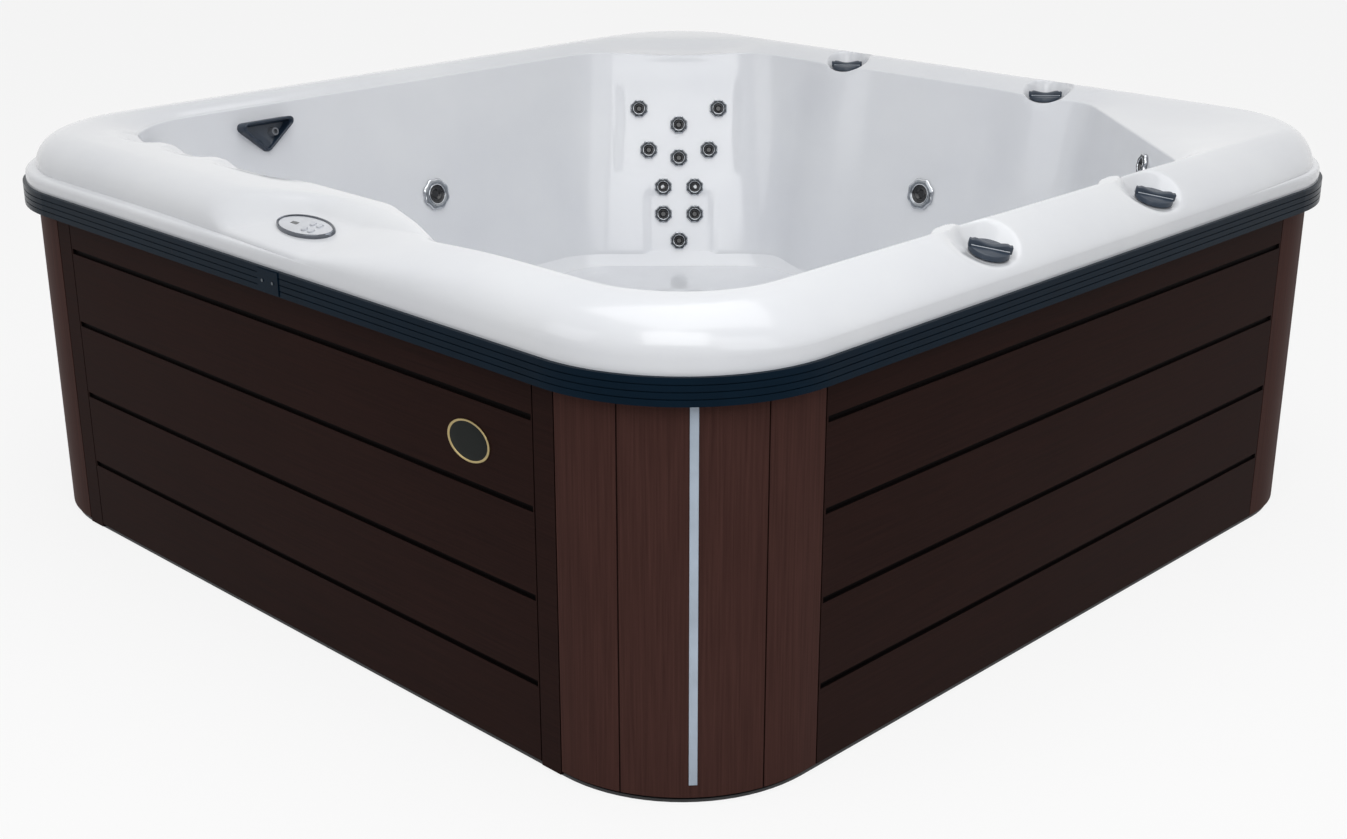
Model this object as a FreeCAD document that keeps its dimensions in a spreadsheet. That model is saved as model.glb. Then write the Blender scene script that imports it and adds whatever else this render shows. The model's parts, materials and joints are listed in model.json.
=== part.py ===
"""Square hot tub with a moulded shell, grooved skirt panels, jets, valves and its pump bay.

Frame: millimetres, +Z up, origin on the floor under the middle of the tub. The front, with the
control panel and the access panel, faces -Y, and the right side faces +X.
"""
import FreeCAD, Part
import math
import os
import re

import Sketcher
from FreeCAD import Placement, Rotation, Vector

# Driving dimensions in millimetres and degrees
SIZES = {
    # Skirt and base
    "skirt_half": 1140,
    "corner_radius": 310,
    "panel_thickness": 22,
    "panel_gap": 3,
    "panel_bottom": 14,
    "panel_top": 800,
    "groove_pitch": 170,
    "groove_width": 12,
    "groove_depth": 7,
    "groove_margin": 4,
    "stile_width": 52,
    "stile_drop": 8,
    "stile_line": 3,
    "corner_reach": 30,
    "corner_line_angle": 24.3,
    "corner_line_width": 3,
    "corner_line_depth": 2.5,
    "strip_width": 15,
    "strip_depth": 9,
    "strip_proud": 1.5,
    "strip_bottom": 40,
    "tray_plate": 6,
    "tray_margin": 8,
    "tray_wall": 5,
    "tray_height": 60,
    "fit_gap": 0.3,
    # Timber frame
    "rail_depth": 45,
    "rail_height": 50,
    "post_width": 90,
    "post_inset": 60,
    # Edge trim and its joint
    "trim_height": 50,
    "trim_overhang": 30,
    "trim_rib": 2,
    "trim_rib_pitch": 12.5,
    "trim_joint_x": 84,
    "trim_joint_gap": 1.6,
    "clip_length": 68,
    "clip_thickness": 2,
    "screw_radius": 3.2,
    "screw_head": 1.6,
    # Shell
    "wall": 8,
    "flange_gap": 6,
    "flange_thickness": 10,
    "flange_overhang": 22,
    "flange_depth": 55,
    "rim_overhang": 12,
    "rim_side_rise": 28,
    "rim_rise": 108,
    "crest_depth": 102,
    "roll_width": 34,
    "roll_drop": 34,
    "right_rim": 120,
    "back_rim": 137,
    "left_rim": 152,
    "front_rim": 110,
    "shelf_rim": 215,
    "shelf_end": 130,
    "shelf_slope": 20.6,
    "far_rim": 457.2,
    "right_corner_rim": 537.2,
    "right_cut_angle": 49,
    "right_corner": 160,
    "far_corner": 150,
    "left_corner": 240,
    "shelf_corner": 180,
    "front_corner": 200,
    "recline": 104,
    "front_recline": 20,
    "far_recline": 162,
    "bench": 300,
    "seat_cove": 60,
    "seat_depth": 600,
    "foot_corner_cut": 113.7,
    "foot_radius": 80,
    "foot_lip": 30,
    "foot_floor": 96,
    "foot_cove": 40,
    "column_radius": 105,
    "column_flare": 10,
    "column_set": 65,
    "column_cap": 22,
    # Recessed jet panel in the far corner
    "panel_recess": 10,
    "recess_middle": 26,
    "recess_half": 175,
    "recess_foot_half": 100,
    "recess_top": 40,
    "recess_waist": 330,
    "recess_taper": 80,
    "recess_bottom": 520,
    # Jets
    "jet_radius": 27,
    "jet_hole": 21,
    "jet_bore": 8,
    "large_jet_radius": 44,
    "large_jet_hole": 33,
    "large_jet_bore": 12,
    "mini_jet_radius": 15,
    "mini_jet_hole": 9,
    "mini_jet_bore": 5,
    "jet_lip": 2,
    "jet_face": 7,
    "jet_depth": 60,
    "jet_nut": 12,
    "scallop_share": 0.14,
    "side_jet_offset": 19,
    "side_jet_drop": 300,
    "corner_jet_across": 190,
    "corner_jet_drop": 44,
    "mini_jet_across": 296,
    # Valves in their rim pockets
    "pocket_radius": 62,
    "right_pocket_inset": 42,
    "right_pocket_drop": 50,
    "right_pocket_tilt": 15,
    "right_pocket_share": 0.2544,
    "back_pocket_inset": 102,
    "back_pocket_drop": 44,
    "back_pocket_share": 0.2912,
    "valve_neck": 19.5,
    "valve_chamber": 30,
    "valve_depth": 38,
    "valve_stem": 9,
    "knob_radius": 40,
    "knob_base": 12,
    "knob_bar_height": 26,
    "knob_bar_width": 17,
    "knob_bar_length": 84,
    "knob_turn": 41,
    "knob_taper": 12,
    # Control panel and its sloping recess in the rim
    "control_x": 45,
    "control_inset": 68,
    "control_drop": 46,
    "control_tilt": 15,
    "dip_half": 190,
    "dip_back": 100,
    "dip_front": 125,
    "dip_height": 75,
    "dip_flare": 62,
    "dip_round": 60,
    "control_long": 80,
    "control_short": 30,
    "control_plate": 5,
    "bezel_width": 6,
    "bezel_height": 8,
    "control_box_long": 100,
    "control_box_short": 40,
    "control_box_depth": 40,
    "display_long": 22,
    "display_short": 9,
    "display_x": -35,
    "display_depth": 2,
    "button_radius": 7,
    "button_pitch": 22,
    "button_first_x": 12,
    "button_row": 11,
    "button_height": 3,
    "button_depth": 4,
    "button_travel": 0.8,
    # Spout on the left wall
    "spout_inset": 455,
    "spout_drop": 26,
    "spout_half": 72,
    "spout_height": 68,
    "spout_tip": 15,
    "spout_depth": 40,
    "spout_wall": 5,
    "nozzle_radius": 12,
    "nozzle_length": 18,
    "nozzle_x": 8,
    "nozzle_drop": 34,
    "spout_hole": 8,
    # Skim filter in the shelf wall
    "filter_inset": 543,
    "filter_half": 110,
    "filter_drop": 72,
    "filter_mouth": 80,
    "filter_frame": 22,
    "filter_frame_depth": 12,
    "filter_case_height": 202,
    "filter_case_wall": 5,
    "filter_case_depth": 132,
    "weir_thickness": 5,
    "weir_height": 62,
    "weir_pin": 2.5,
    "cartridge_radius": 55,
    "cartridge_core": 20,
    "cartridge_pleat": 9,
    # Footwell fittings
    "suction_spread": 150,
    "suction_z": 204,
    "suction_radius": 58,
    "suction_neck": 30,
    "suction_height": 15,
    "light_z": 215,
    "light_radius": 48,
    "drain_radius": 48,
    "drain_neck": 20,
    "drain_height": 6,
    # Pump bay
    "pump_x": -150,
    "pump_z": 118,
    "motor_radius": 85,
    "motor_inset": 100,
    "motor_length": 260,
    "volute_radius": 104,
    "volute_length": 76,
    "pump_inlet": 38,
    "pipe_radius": 25,
    "elbow_radius": 29,
    "heater_radius": 31,
    "heater_start": 60,
    "heater_end": 420,
    "heater_z": 258,
    "riser_inset": 137,
    "manifold_z": 500,
    "manifold_short": 20,
    "box_left": 300,
    "box_right": 680,
    "box_inset": 85,
    "box_depth": 160,
    "box_height": 240,
    "running_gap": 0.05,
}

# Sizes that follow from the driving ones
DERIVED = {
    "post_spacing": "skirt_half - corner_radius - post_width - post_inset",
    "strip_turn": "90 * corner_reach / (pi * corner_radius)",
    "flange_half": "skirt_half + flange_overhang",
    "flange_inner": "skirt_half - flange_depth",
    "flange_bottom": "panel_top + flange_gap",
    "rim_half": "skirt_half + rim_overhang",
    "rim_side_top": "flange_bottom + rim_side_rise",
    "rim_top": "flange_bottom + rim_rise",
    "crest_half": "rim_half - crest_depth",
    "wall_top": "rim_top - roll_drop",
    "right_wall": "skirt_half - right_rim",
    "back_wall": "skirt_half - back_rim",
    "left_wall": "skirt_half - left_rim",
    "front_wall": "skirt_half - front_rim",
    "shelf_wall": "skirt_half - shelf_rim",
    "far_cut": "skirt_half * sqrt(2) - far_rim",
    "right_cut": "skirt_half * sqrt(2) - right_corner_rim",
    "foot_half": "skirt_half - seat_depth",
    "foot_cut": "foot_half * sqrt(2) - foot_corner_cut",
    "right_pocket_x": "skirt_half - right_pocket_inset",
    "right_pocket_floor": "rim_top - right_pocket_drop",
    "right_pocket_spread": "skirt_half * right_pocket_share",
    "back_pocket_y": "skirt_half - back_pocket_inset",
    "back_pocket_floor": "rim_top - back_pocket_drop",
    "back_pocket_spread": "skirt_half * back_pocket_share",
    "control_y": "control_inset - skirt_half",
    "control_floor": "rim_top - control_drop",
    "spout_y": "spout_inset - shelf_wall",
    "filter_x": "filter_inset - left_wall",
    "filter_mouth_top": "rim_top - filter_drop",
    "filter_mouth_bottom": "filter_mouth_top - filter_mouth",
    "filter_case_bottom": "filter_mouth_top - filter_case_height",
    "motor_back": "motor_inset - skirt_half",
    "volute_back": "motor_back + motor_length",
    "volute_front": "volute_back + volute_length",
    "riser_x": "skirt_half - riser_inset",
    "manifold_end": "foot_half - manifold_short",
    "box_front": "box_inset - skirt_half",
    "box_back": "box_front + box_depth",
    "drill_reach": "wall * 8",
    "recess_foot": "recess_bottom + jet_radius * 3",
    "jet_stub": "jet_depth / 3",
    "valve_bore": "valve_depth * 3 / 4",
    "saddle_rise": "knob_bar_height + knob_radius * 3 / 4",
    "nozzle_tip": "nozzle_radius * 4 / 5",
    "nozzle_mouth": "spout_hole * 3 / 4",
    "suction_rim": "suction_radius * 4 / 5",
    "light_rim": "light_radius * 3 / 4",
    "drain_rim": "drain_radius * 9 / 10",
    "motor_foot_half": "motor_radius * 3 / 4",
    "motor_foot_inset": "wall * 4",
}

# Jet places on the recessed panel: across its middle line, and below the top of the wall
PANEL_JETS = (
    ("jet_top_left", -116, 152),
    ("jet_top_right", 116, 152),
    ("jet_upper_middle", 0, 199),
    ("jet_shoulder_left", -88, 272),
    ("jet_shoulder_right", 88, 272),
    ("jet_middle", 0, 295),
    ("jet_waist_left", -46, 380),
    ("jet_waist_right", 46, 380),
    ("jet_lower_left", -46, 459),
    ("jet_lower_right", 46, 459),
    ("jet_bottom", 0, 537),
)

# Corners: name, turn from the back right one, and the side on which the panel reaches past its arc
CORNERS = (
    ("front_right", -90, "y"),
    ("back_right", 0, "x"),
    ("back_left", 90, "y"),
    ("front_left", 180, "x"),
)

doc = FreeCAD.newDocument("hot_tub")
sheet = doc.addObject("Spreadsheet::Sheet", "sizes")
nodes = {}


def fill_sheet():
    """Write every dimension to the sheet under its own alias, the driving ones first."""
    cells = [(alias, str(value)) for alias, value in SIZES.items()]
    cells += [(alias, f"={formula}") for alias, formula in DERIVED.items()]
    for row, (alias, content) in enumerate(cells, start=1):
        sheet.set(f"A{row}", alias.replace("_", " "))
        sheet.set(f"B{row}", content)
        sheet.setAlias(f"B{row}", alias)
    doc.recompute()


def size(alias):
    """Read one dimension from the sheet."""
    return float(sheet.get(alias))


def bound(text):
    """Turn plain words such as 'rim_top - wall' into an expression on the sheet."""
    return re.sub(r"\b(?!pi\b)([a-z]\w*)\b(?!\()", r"sizes.\1", text)


def bind(thing, **properties):
    """Bind properties of an object to expressions on the sheet."""
    for name, text in properties.items():
        thing.setExpression(name, bound(text))
    return thing


def seat(thing, x="0", y="0", z="0"):
    """Bind the base of an object's placement to expressions on the sheet."""
    for axis, text in zip("xyz", (x, y, z)):
        thing.setExpression(f"Placement.Base.{axis}", bound(text))
    return thing


def block(name, x, y, z):
    """Box between the low and high expressions of each axis."""
    thing = doc.addObject("Part::Box", name)
    spans = [f"({high}) - ({low})" for low, high in (x, y, z)]
    bind(thing, Length=spans[0], Width=spans[1], Height=spans[2])
    return seat(thing, x[0], y[0], z[0])


AXES = {
    "+X": Rotation(Vector(0, 1, 0), 90),
    "+Y": Rotation(Vector(1, 0, 0), -90),
    "-Y": Rotation(Vector(1, 0, 0), 90),
    "+Z": Rotation(),
    "-Z": Rotation(Vector(1, 0, 0), 180),
}


def rod(name, radius, length, at=("0", "0", "0"), axis="+Z"):
    """Cylinder from a point along an axis."""
    thing = doc.addObject("Part::Cylinder", name)
    thing.Placement = Placement(Vector(), AXES[axis])
    bind(thing, Radius=radius, Height=length)
    return seat(thing, *at)


def cone(name, radius, end_radius, length, at=("0", "0", "0"), axis="+Z"):
    """Truncated cone from a point along an axis."""
    thing = doc.addObject("Part::Cone", name)
    thing.Placement = Placement(Vector(), AXES[axis])
    bind(thing, Radius1=radius, Radius2=end_radius, Height=length)
    return seat(thing, *at)


def ball(name, radius, at):
    """Sphere round a point."""
    thing = doc.addObject("Part::Sphere", name)
    bind(thing, Radius=radius)
    return seat(thing, *at)


def oval(name, long_radius, short_radius, height, at=("0", "0", "0")):
    """Elliptical disc that stands on a point."""
    rim = doc.addObject("Part::Ellipse", name + "_rim")
    bind(rim, MajorRadius=long_radius, MinorRadius=short_radius)
    thing = doc.addObject("Part::Extrusion", name)
    thing.Base = rim
    thing.Dir = Vector(0, 0, 1)
    thing.Solid = True
    bind(thing, LengthFwd=height)
    return seat(thing, *at)


def fuse(name, *pieces):
    """Join pieces into one solid."""
    thing = doc.addObject("Part::MultiFuse", name)
    thing.Shapes = list(pieces)
    return thing


def cut(name, base, *tools):
    """Cut tools out of a base."""
    thing = doc.addObject("Part::Cut", name)
    thing.Base = base
    thing.Tool = tools[0] if len(tools) == 1 else fuse(name + "_tools", *tools)
    return thing


def group(name, *pieces):
    """Hold separate solids together as one named piece."""
    thing = doc.addObject("Part::Compound", name)
    thing.Links = list(pieces)
    return thing


def held(name, shape, placement=Placement()):
    """Document object for a shape that is worked out from the sheet's sizes."""
    thing = doc.addObject("Part::Feature", name)
    thing.Shape = shape
    thing.Placement = placement
    return thing


def node(name, thing):
    """Register an object as a finished sub-part under its own label."""
    thing.Label = name
    nodes[name] = thing
    return thing


def solid_of(thing):
    """Recompute and return the shape of a document object."""
    doc.recompute()
    return thing.Shape


# Outlines of the moulded shell


def outline(sides, offset, level):
    """Closed wire of straight sides joined by arcs.

    Each side is (angle of its outward normal, distance from the middle, radius of the corner
    that ends it), going round counter-clockwise. A positive offset moves every side outwards.
    """
    lines = []
    for angle, distance, _ in sides:
        turn = math.radians(angle)
        lines.append((math.cos(turn), math.sin(turn), distance + offset))
    edges = []
    ends = []
    for index, (_, _, radius) in enumerate(sides):
        a, b, c = lines[index]
        d, e, f = lines[(index + 1) % len(lines)]
        cross = a * e - b * d
        corner = Vector((c * e - b * f) / cross, (a * f - c * d) / cross, level)
        bend = math.atan2(cross, a * d + b * e)
        rounding = radius + math.copysign(offset, bend)
        reach = rounding * math.tan(abs(bend) / 2)
        start = corner - Vector(-b, a, 0) * reach
        finish = corner + Vector(-e, d, 0) * reach
        inward = (start + finish) * 0.5 - corner
        inward.normalize()
        middle = corner + inward * (rounding / math.cos(bend / 2) - rounding)
        ends.append((start, middle, finish))
    for index, (start, middle, finish) in enumerate(ends):
        edges.append(Part.makeLine(ends[index - 1][2], start))
        edges.append(Part.Arc(start, middle, finish).toShape())
    return Part.Wire(edges)


def square(half, level):
    """Rounded square outline, concentric at its corners with the skirt."""
    rounding = size("corner_radius") + half - size("skirt_half")
    sides = [(angle, half, rounding) for angle in (0, 90, 180, 270)]
    return outline(sides, 0, level)


def opening_sides(lean):
    """Sides of the tub's inner wall; lean is 0 at the rim and 1 where the wall meets the seats."""
    recline = lean * size("recline")
    front = size("front_wall") - lean * size("front_recline")
    shelf = size("shelf_wall")
    flank_angle = 270 - size("shelf_slope")
    turn = math.radians(flank_angle)
    flank = size("shelf_end") * math.cos(turn) - shelf * math.sin(turn)
    return (
        (0, size("right_wall") - recline, size("right_corner")),
        (size("right_cut_angle"), size("right_cut") - recline, size("right_corner")),
        (90, size("back_wall") - recline, size("far_corner")),
        (135, size("far_cut") - lean * size("far_recline"), size("far_corner")),
        (180, size("left_wall") - recline, size("left_corner")),
        (270, shelf, size("shelf_corner")),
        (flank_angle, flank, size("front_corner")),
        (270, front, size("front_corner")),
    )


def foot_sides():
    """Sides of the footwell, a square with cut corners."""
    half = size("foot_half")
    corner = size("foot_cut")
    rounding = size("foot_radius")
    return [(angle, half if angle % 90 == 0 else corner, rounding) for angle in range(0, 360, 45)]


def steps(count):
    """Angles of a quarter turn in equal steps, in radians."""
    return [math.pi / 2 * index / count for index in range(count + 1)]


FLAT_LIMIT = 0.01


def flat_side(face):
    """The same side as a true plane where it is flat, else the side itself."""
    plane = face.findPlane(FLAT_LIMIT)
    if not plane:
        return face
    flat = Part.Face(plane, [face.OuterWire])
    middle = face.Surface.parameter(face.CenterOfMass)
    if flat.normalAt(0, 0).dot(face.normalAt(*middle)) < 0:
        flat.reverse()
    return flat


def lofted(sections):
    """Solid through closed outlines, whose flat sides are true planes."""
    sides = [flat_side(face) for face in Part.makeLoft(sections, True, True).Faces]
    return Part.makeSolid(Part.makeShell(sides))


def cavity(skin):
    """Solid space of the tub: walls, seats and footwell, grown by a skin thickness."""
    roll = size("roll_width")
    top = size("rim_top")
    wall_top = size("wall_top")
    rim = opening_sides(0)
    seats = opening_sides(1)
    cove = size("seat_cove")
    bench = size("bench")
    sections = []
    if skin == 0:
        sections.append(outline(rim, roll, top + cove))
    for turn in steps(4):
        offset = roll * (1 - math.sin(turn)) + skin * math.sin(turn)
        level = wall_top + (top - wall_top) * math.cos(turn) - skin * math.cos(turn)
        sections.append(outline(rim, offset, level))
    for turn in steps(3):
        offset = cove * (math.cos(turn) - 1) + skin * math.cos(turn)
        level = bench + cove * (1 - math.sin(turn)) - skin * math.sin(turn)
        sections.append(outline(seats, offset, level))
    return lofted(sections)


def footwell(skin):
    """Solid space of the footwell under the seats, grown by a skin thickness."""
    sides = foot_sides()
    lip = size("foot_lip")
    cove = size("foot_cove")
    bench = size("bench")
    floor = size("foot_floor")
    overlap = size("wall") / 2
    sections = [outline(sides, lip, bench - skin + overlap)]
    for turn in steps(3):
        offset = lip * (1 - math.sin(turn)) + skin * math.sin(turn)
        level = bench - lip * (1 - math.cos(turn)) - skin * math.cos(turn)
        sections.append(outline(sides, offset, level))
    for turn in steps(3):
        offset = cove * (math.cos(turn) - 1) + skin * math.cos(turn)
        level = floor + cove * (1 - math.sin(turn)) - skin * math.sin(turn)
        sections.append(outline(sides, offset, level))
    return lofted(sections)


def rim_block(skin):
    """Solid of the rim from its flange to the crest, shrunk by a skin thickness."""
    flange = size("flange_bottom")
    shoulder = flange + size("flange_thickness")
    side = size("rim_half")
    side_top = size("rim_side_top")
    crest = size("crest_half")
    top = size("rim_top")
    sections = []
    if skin == 0:
        sections.append(square(size("flange_half"), flange))
        sections.append(square(size("flange_half"), shoulder))
        sections.append(square(side, shoulder + (side_top - shoulder) / 3))
    else:
        sections.append(square(side - skin, shoulder))
    for turn in steps(5):
        half = crest + (side - crest - skin) * math.cos(turn)
        level = side_top + (top - side_top - skin) * math.sin(turn)
        sections.append(square(half, level))
    return lofted(sections)


# Places of the fittings on the shell


def wall_place(angle, distance, lean, across, drop):
    """Placement on a reclined wall: X across it, Y up it and Z out of it into the tub."""
    outward = Vector(math.cos(math.radians(angle)), math.sin(math.radians(angle)), 0)
    rise = size("wall_top") - size("bench") - size("seat_cove")
    tilt = math.atan2(lean, rise)
    up = outward * math.sin(tilt) + Vector(0, 0, math.cos(tilt))
    out = Vector(0, 0, math.sin(tilt)) - outward * math.cos(tilt)
    side = up.cross(out)
    base = outward * distance + Vector(0, 0, size("wall_top"))
    return Placement(base + side * across - up * drop, Rotation(side, up, out, "ZXY"))


def far_place(across, drop, sink=0):
    """Placement on the far corner's wall, sunk below its surface."""
    place = wall_place(135, size("far_cut"), size("far_recline"), across, drop)
    return place.multiply(Placement(Vector(0, 0, -sink), Rotation()))


def jet_places():
    """Name, kind and placement of every jet."""
    middle = size("recess_middle")
    sink = size("panel_recess")
    recline = size("recline")
    places = [(name, "small", far_place(middle + across, drop, sink)) for name, across, drop in PANEL_JETS]
    corner = (size("right_cut_angle"), size("right_cut"), recline)
    drop = size("corner_jet_drop")
    places.append(("jet_right_corner", "small", wall_place(*corner, size("corner_jet_across"), drop)))
    places.append(("jet_mini", "mini", wall_place(*corner, size("mini_jet_across"), drop)))
    side = (size("side_jet_offset"), size("side_jet_drop"))
    places.append(("jet_large_left", "large", wall_place(180, size("left_wall"), recline, *side)))
    places.append(("jet_large_back", "large", wall_place(90, size("back_wall"), recline, *side)))
    return places


def valve_places():
    """Name and placement of every valve, on the floor of its pocket."""
    x = size("right_pocket_x")
    y = size("back_pocket_y")
    tilt = Rotation(Vector(0, 1, 0), size("right_pocket_tilt"))
    right = size("right_pocket_floor")
    back = size("back_pocket_floor")
    spread = size("right_pocket_spread")
    width = size("back_pocket_spread")
    level = Rotation()
    return (
        ("right_front", Placement(Vector(x, -spread, right), tilt)),
        ("right_back", Placement(Vector(x, spread, right), tilt)),
        ("back_right", Placement(Vector(width, y, back), level)),
        ("back_left", Placement(Vector(-width, y, back), level)),
    )


def control_place():
    """Placement of the control panel on the floor of its sloping recess."""
    base = Vector(size("control_x"), size("control_y"), size("control_floor"))
    return Placement(base, Rotation(Vector(1, 0, 0), size("control_tilt")))


def spout_place():
    """Placement of the spout's top edge on the left wall."""
    return wall_place(180, size("left_wall"), size("recline"), size("spout_y"), size("spout_drop"))


def nozzle_place():
    """Placement of the spout's nozzle, low in its hood."""
    shift = Vector(size("nozzle_x"), -size("nozzle_drop"), 0)
    return spout_place().multiply(Placement(shift, Rotation()))


JET_SIZES = {
    "small": ("jet_radius", "jet_hole", "jet_bore"),
    "large": ("large_jet_radius", "large_jet_hole", "large_jet_bore"),
    "mini": ("mini_jet_radius", "mini_jet_hole", "mini_jet_bore"),
}


def column_places():
    """Foot and top of the middle line of every half-round column, which leans with its wall."""
    rise = size("wall_top") - size("bench") - size("seat_cove")
    low = size("bench") - size("seat_cove")
    high = size("wall_top") - size("column_cap")
    lean = size("recline") / rise
    spread = size("right_pocket_spread")
    width = size("back_pocket_spread")
    lines = []
    for across in (-spread, spread):
        reach = size("right_wall") + size("column_set") - lean * size("wall_top")
        lines.append([Vector(reach + lean * level, across, level) for level in (low, high)])
    for across in (width, -width):
        reach = size("back_wall") + size("column_set") - lean * size("wall_top")
        lines.append([Vector(across, reach + lean * level, level) for level in (low, high)])
    return lines


def column(line, skin):
    """Half-round column between two seats with a bevelled top, shrunk by a skin thickness."""
    foot, top = line
    radius = size("column_radius") - skin
    cap = size("column_cap")
    way = top - foot
    length = way.Length - skin
    way.normalize()
    stem = Part.makeCone(radius + size("column_flare"), radius, length, foot, way)
    bevel = Part.makeCone(radius, radius - cap, cap, foot + way * length, way)
    return stem.fuse(bevel)


def pocket(place, skin):
    """Round pocket in the rim for one valve, grown by a skin thickness."""
    height = size("rim_top") - size("back_pocket_floor") + size("pocket_radius")
    shape = Part.makeCylinder(size("pocket_radius") + skin, height, Vector(0, 0, -skin))
    shape.Placement = place
    return shape


def control_dip(skin):
    """Sloping recess in the rim under the control panel, grown by a skin thickness."""
    half = size("dip_half") + skin
    front = -size("dip_front")
    back = size("dip_back") + skin
    rounding = size("dip_round")
    wires = []
    for grow, level in ((0, -skin), (size("dip_flare"), size("dip_height"))):
        sides = (
            (0, half + grow, rounding + grow),
            (90, back + grow, rounding + grow),
            (180, half + grow, rounding),
            (270, -front, rounding),
        )
        wires.append(outline(sides, 0, level))
    shape = lofted(wires)
    shape.Placement = control_place()
    return shape


def jet_recess(skin):
    """Recessed panel behind the far seat, wide at the shoulders, grown by a skin thickness."""
    wide = size("recess_half") + skin
    narrow = size("recess_foot_half") + skin
    top = -size("recess_top") + skin
    waist = -size("recess_waist")
    hip = waist - size("recess_taper")
    bottom = -size("recess_foot")
    depth = size("panel_recess") + skin
    corners = ((-wide, top), (-wide, waist), (-narrow, hip), (-narrow, bottom))
    points = [Vector(x, y, -depth) for x, y in corners]
    points += [Vector(-x, y, -depth) for x, y in reversed(corners)]
    face = Part.Face(Part.makePolygon(points + points[:1]))
    shape = face.extrude(Vector(0, 0, depth + size("wall")))
    shape.Placement = far_place(size("recess_middle"), 0)
    return shape


def fitting_holes():
    """Holes through the shell for every fitting."""
    deep = size("drill_reach")
    holes = []

    def bore(radius, place):
        hole = Part.makeCylinder(radius, 2 * deep, Vector(0, 0, -deep))
        hole.Placement = place
        holes.append(hole)

    clearance = size("fit_gap")
    for _, kind, place in jet_places():
        bore(size(JET_SIZES[kind][1]) + clearance, place)
    for _, place in valve_places():
        radius = size("valve_neck") + clearance
        hole = Part.makeCylinder(radius, 2 * size("wall"), Vector(0, 0, -1.5 * size("wall")))
        hole.Placement = place
        holes.append(hole)
    long = size("control_box_long") + 2 * clearance
    short = size("control_box_short") + 2 * clearance
    box = Part.makeBox(long, short, 3 * size("wall"), Vector(-long / 2, -short / 2, -2 * size("wall")))
    box.Placement = control_place()
    holes.append(box)
    bore(size("spout_hole") + clearance, nozzle_place())
    width = 2 * (size("filter_half") + clearance)
    low = size("filter_mouth_bottom") - clearance
    tall = size("filter_mouth_top") + clearance - low
    corner = Vector(size("filter_x") - width / 2, -size("shelf_wall") - 2 * size("wall"), low)
    holes.append(Part.makeBox(width, 4 * size("wall"), tall, corner))
    foot = size("foot_half")
    for x in (-size("suction_spread"), size("suction_spread")):
        bore(size("suction_neck") + clearance, Placement(Vector(x, -foot, size("suction_z")), AXES["+Y"]))
    bore(size("suction_neck") + clearance, Placement(Vector(0, foot, size("light_z")), AXES["-Y"]))
    bore(size("drain_neck") + clearance, Placement(Vector(0, 0, size("foot_floor")), Rotation()))
    return holes


def make_shell():
    """Moulded acrylic shell: rolled rim, reclined walls, bench, footwell, pockets and holes."""
    skin = size("wall")
    inner = cavity(0)
    outer = cavity(skin)
    for line in column_places():
        inner = inner.cut(column(line, 0))
        outer = outer.cut(column(line, skin))
    outer = outer.fuse([footwell(skin), jet_recess(skin)])
    block_out = rim_block(0)
    hollow = rim_block(skin)
    floor = size("flange_bottom")
    throat = size("flange_inner")
    throat_wires = [square(throat, floor - skin), square(throat, floor + 2 * skin)]
    hollow = hollow.fuse(lofted(throat_wires))
    recesses = [pocket(place, 0) for _, place in valve_places()]
    cups = [pocket(place, skin) for _, place in valve_places()]
    recesses.append(control_dip(0))
    cups.append(control_dip(skin))
    hollow = hollow.cut([outer] + cups)
    body = block_out.fuse(outer).cut(hollow)
    body = body.cut([inner, footwell(0), jet_recess(0)])
    body = body.cut(recesses)
    body = body.cut(fitting_holes())
    node("shell", held("shell_form", body))


# Skirt, base and frame


def rounded_tray(name, half, low, high):
    """Block with the skirt's rounded corners; half is an expression."""
    blank = block(name + "_blank", (f"-({half})", half), (f"-({half})", half), (low, high))
    doc.recompute()
    rounding = size("corner_radius") + blank.Length.Value / 2 - size("skirt_half")
    upright = []
    for index, edge in enumerate(blank.Shape.Edges, start=1):
        if abs(edge.tangentAt(edge.FirstParameter).z) > 0.5:
            upright.append((index, rounding, rounding))
    thing = doc.addObject("Part::Fillet", name)
    thing.Base = blank
    thing.Edges = upright
    return thing


INNER_FACE = "(skirt_half - panel_thickness)"
TRAY_FACE = f"({INNER_FACE} - fit_gap)"
FRAME_FACE = f"({TRAY_FACE} - tray_wall - fit_gap)"
STRAIGHT = "(skirt_half - corner_radius)"
CORNER_CENTRE = (STRAIGHT, STRAIGHT, "panel_bottom")
TRIM_FACE = "(skirt_half + trim_overhang)"
TRIM_BOTTOM = "(flange_bottom - trim_height)"


def make_base():
    """Base tray: a plate with an upstand that locates the skirt from the inside."""
    plate = rounded_tray("tray_plate_form", "skirt_half - tray_margin", "0", "tray_plate")
    upstand = rounded_tray("tray_upstand", TRAY_FACE, "tray_plate / 2", "tray_height")
    inside = rounded_tray("tray_inside", f"{TRAY_FACE} - tray_wall", "tray_plate", "tray_height + tray_wall")
    node("base_tray", cut("base_tray_form", fuse("base_tray_solid", plate, upstand), inside))


def turned(name, thing, angle):
    """Copy of a piece, turned about the middle of the tub."""
    shape = solid_of(thing)
    turn = Placement(Vector(), Rotation(Vector(0, 0, 1), angle))
    return held(name, shape, turn.multiply(shape.Placement))


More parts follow.
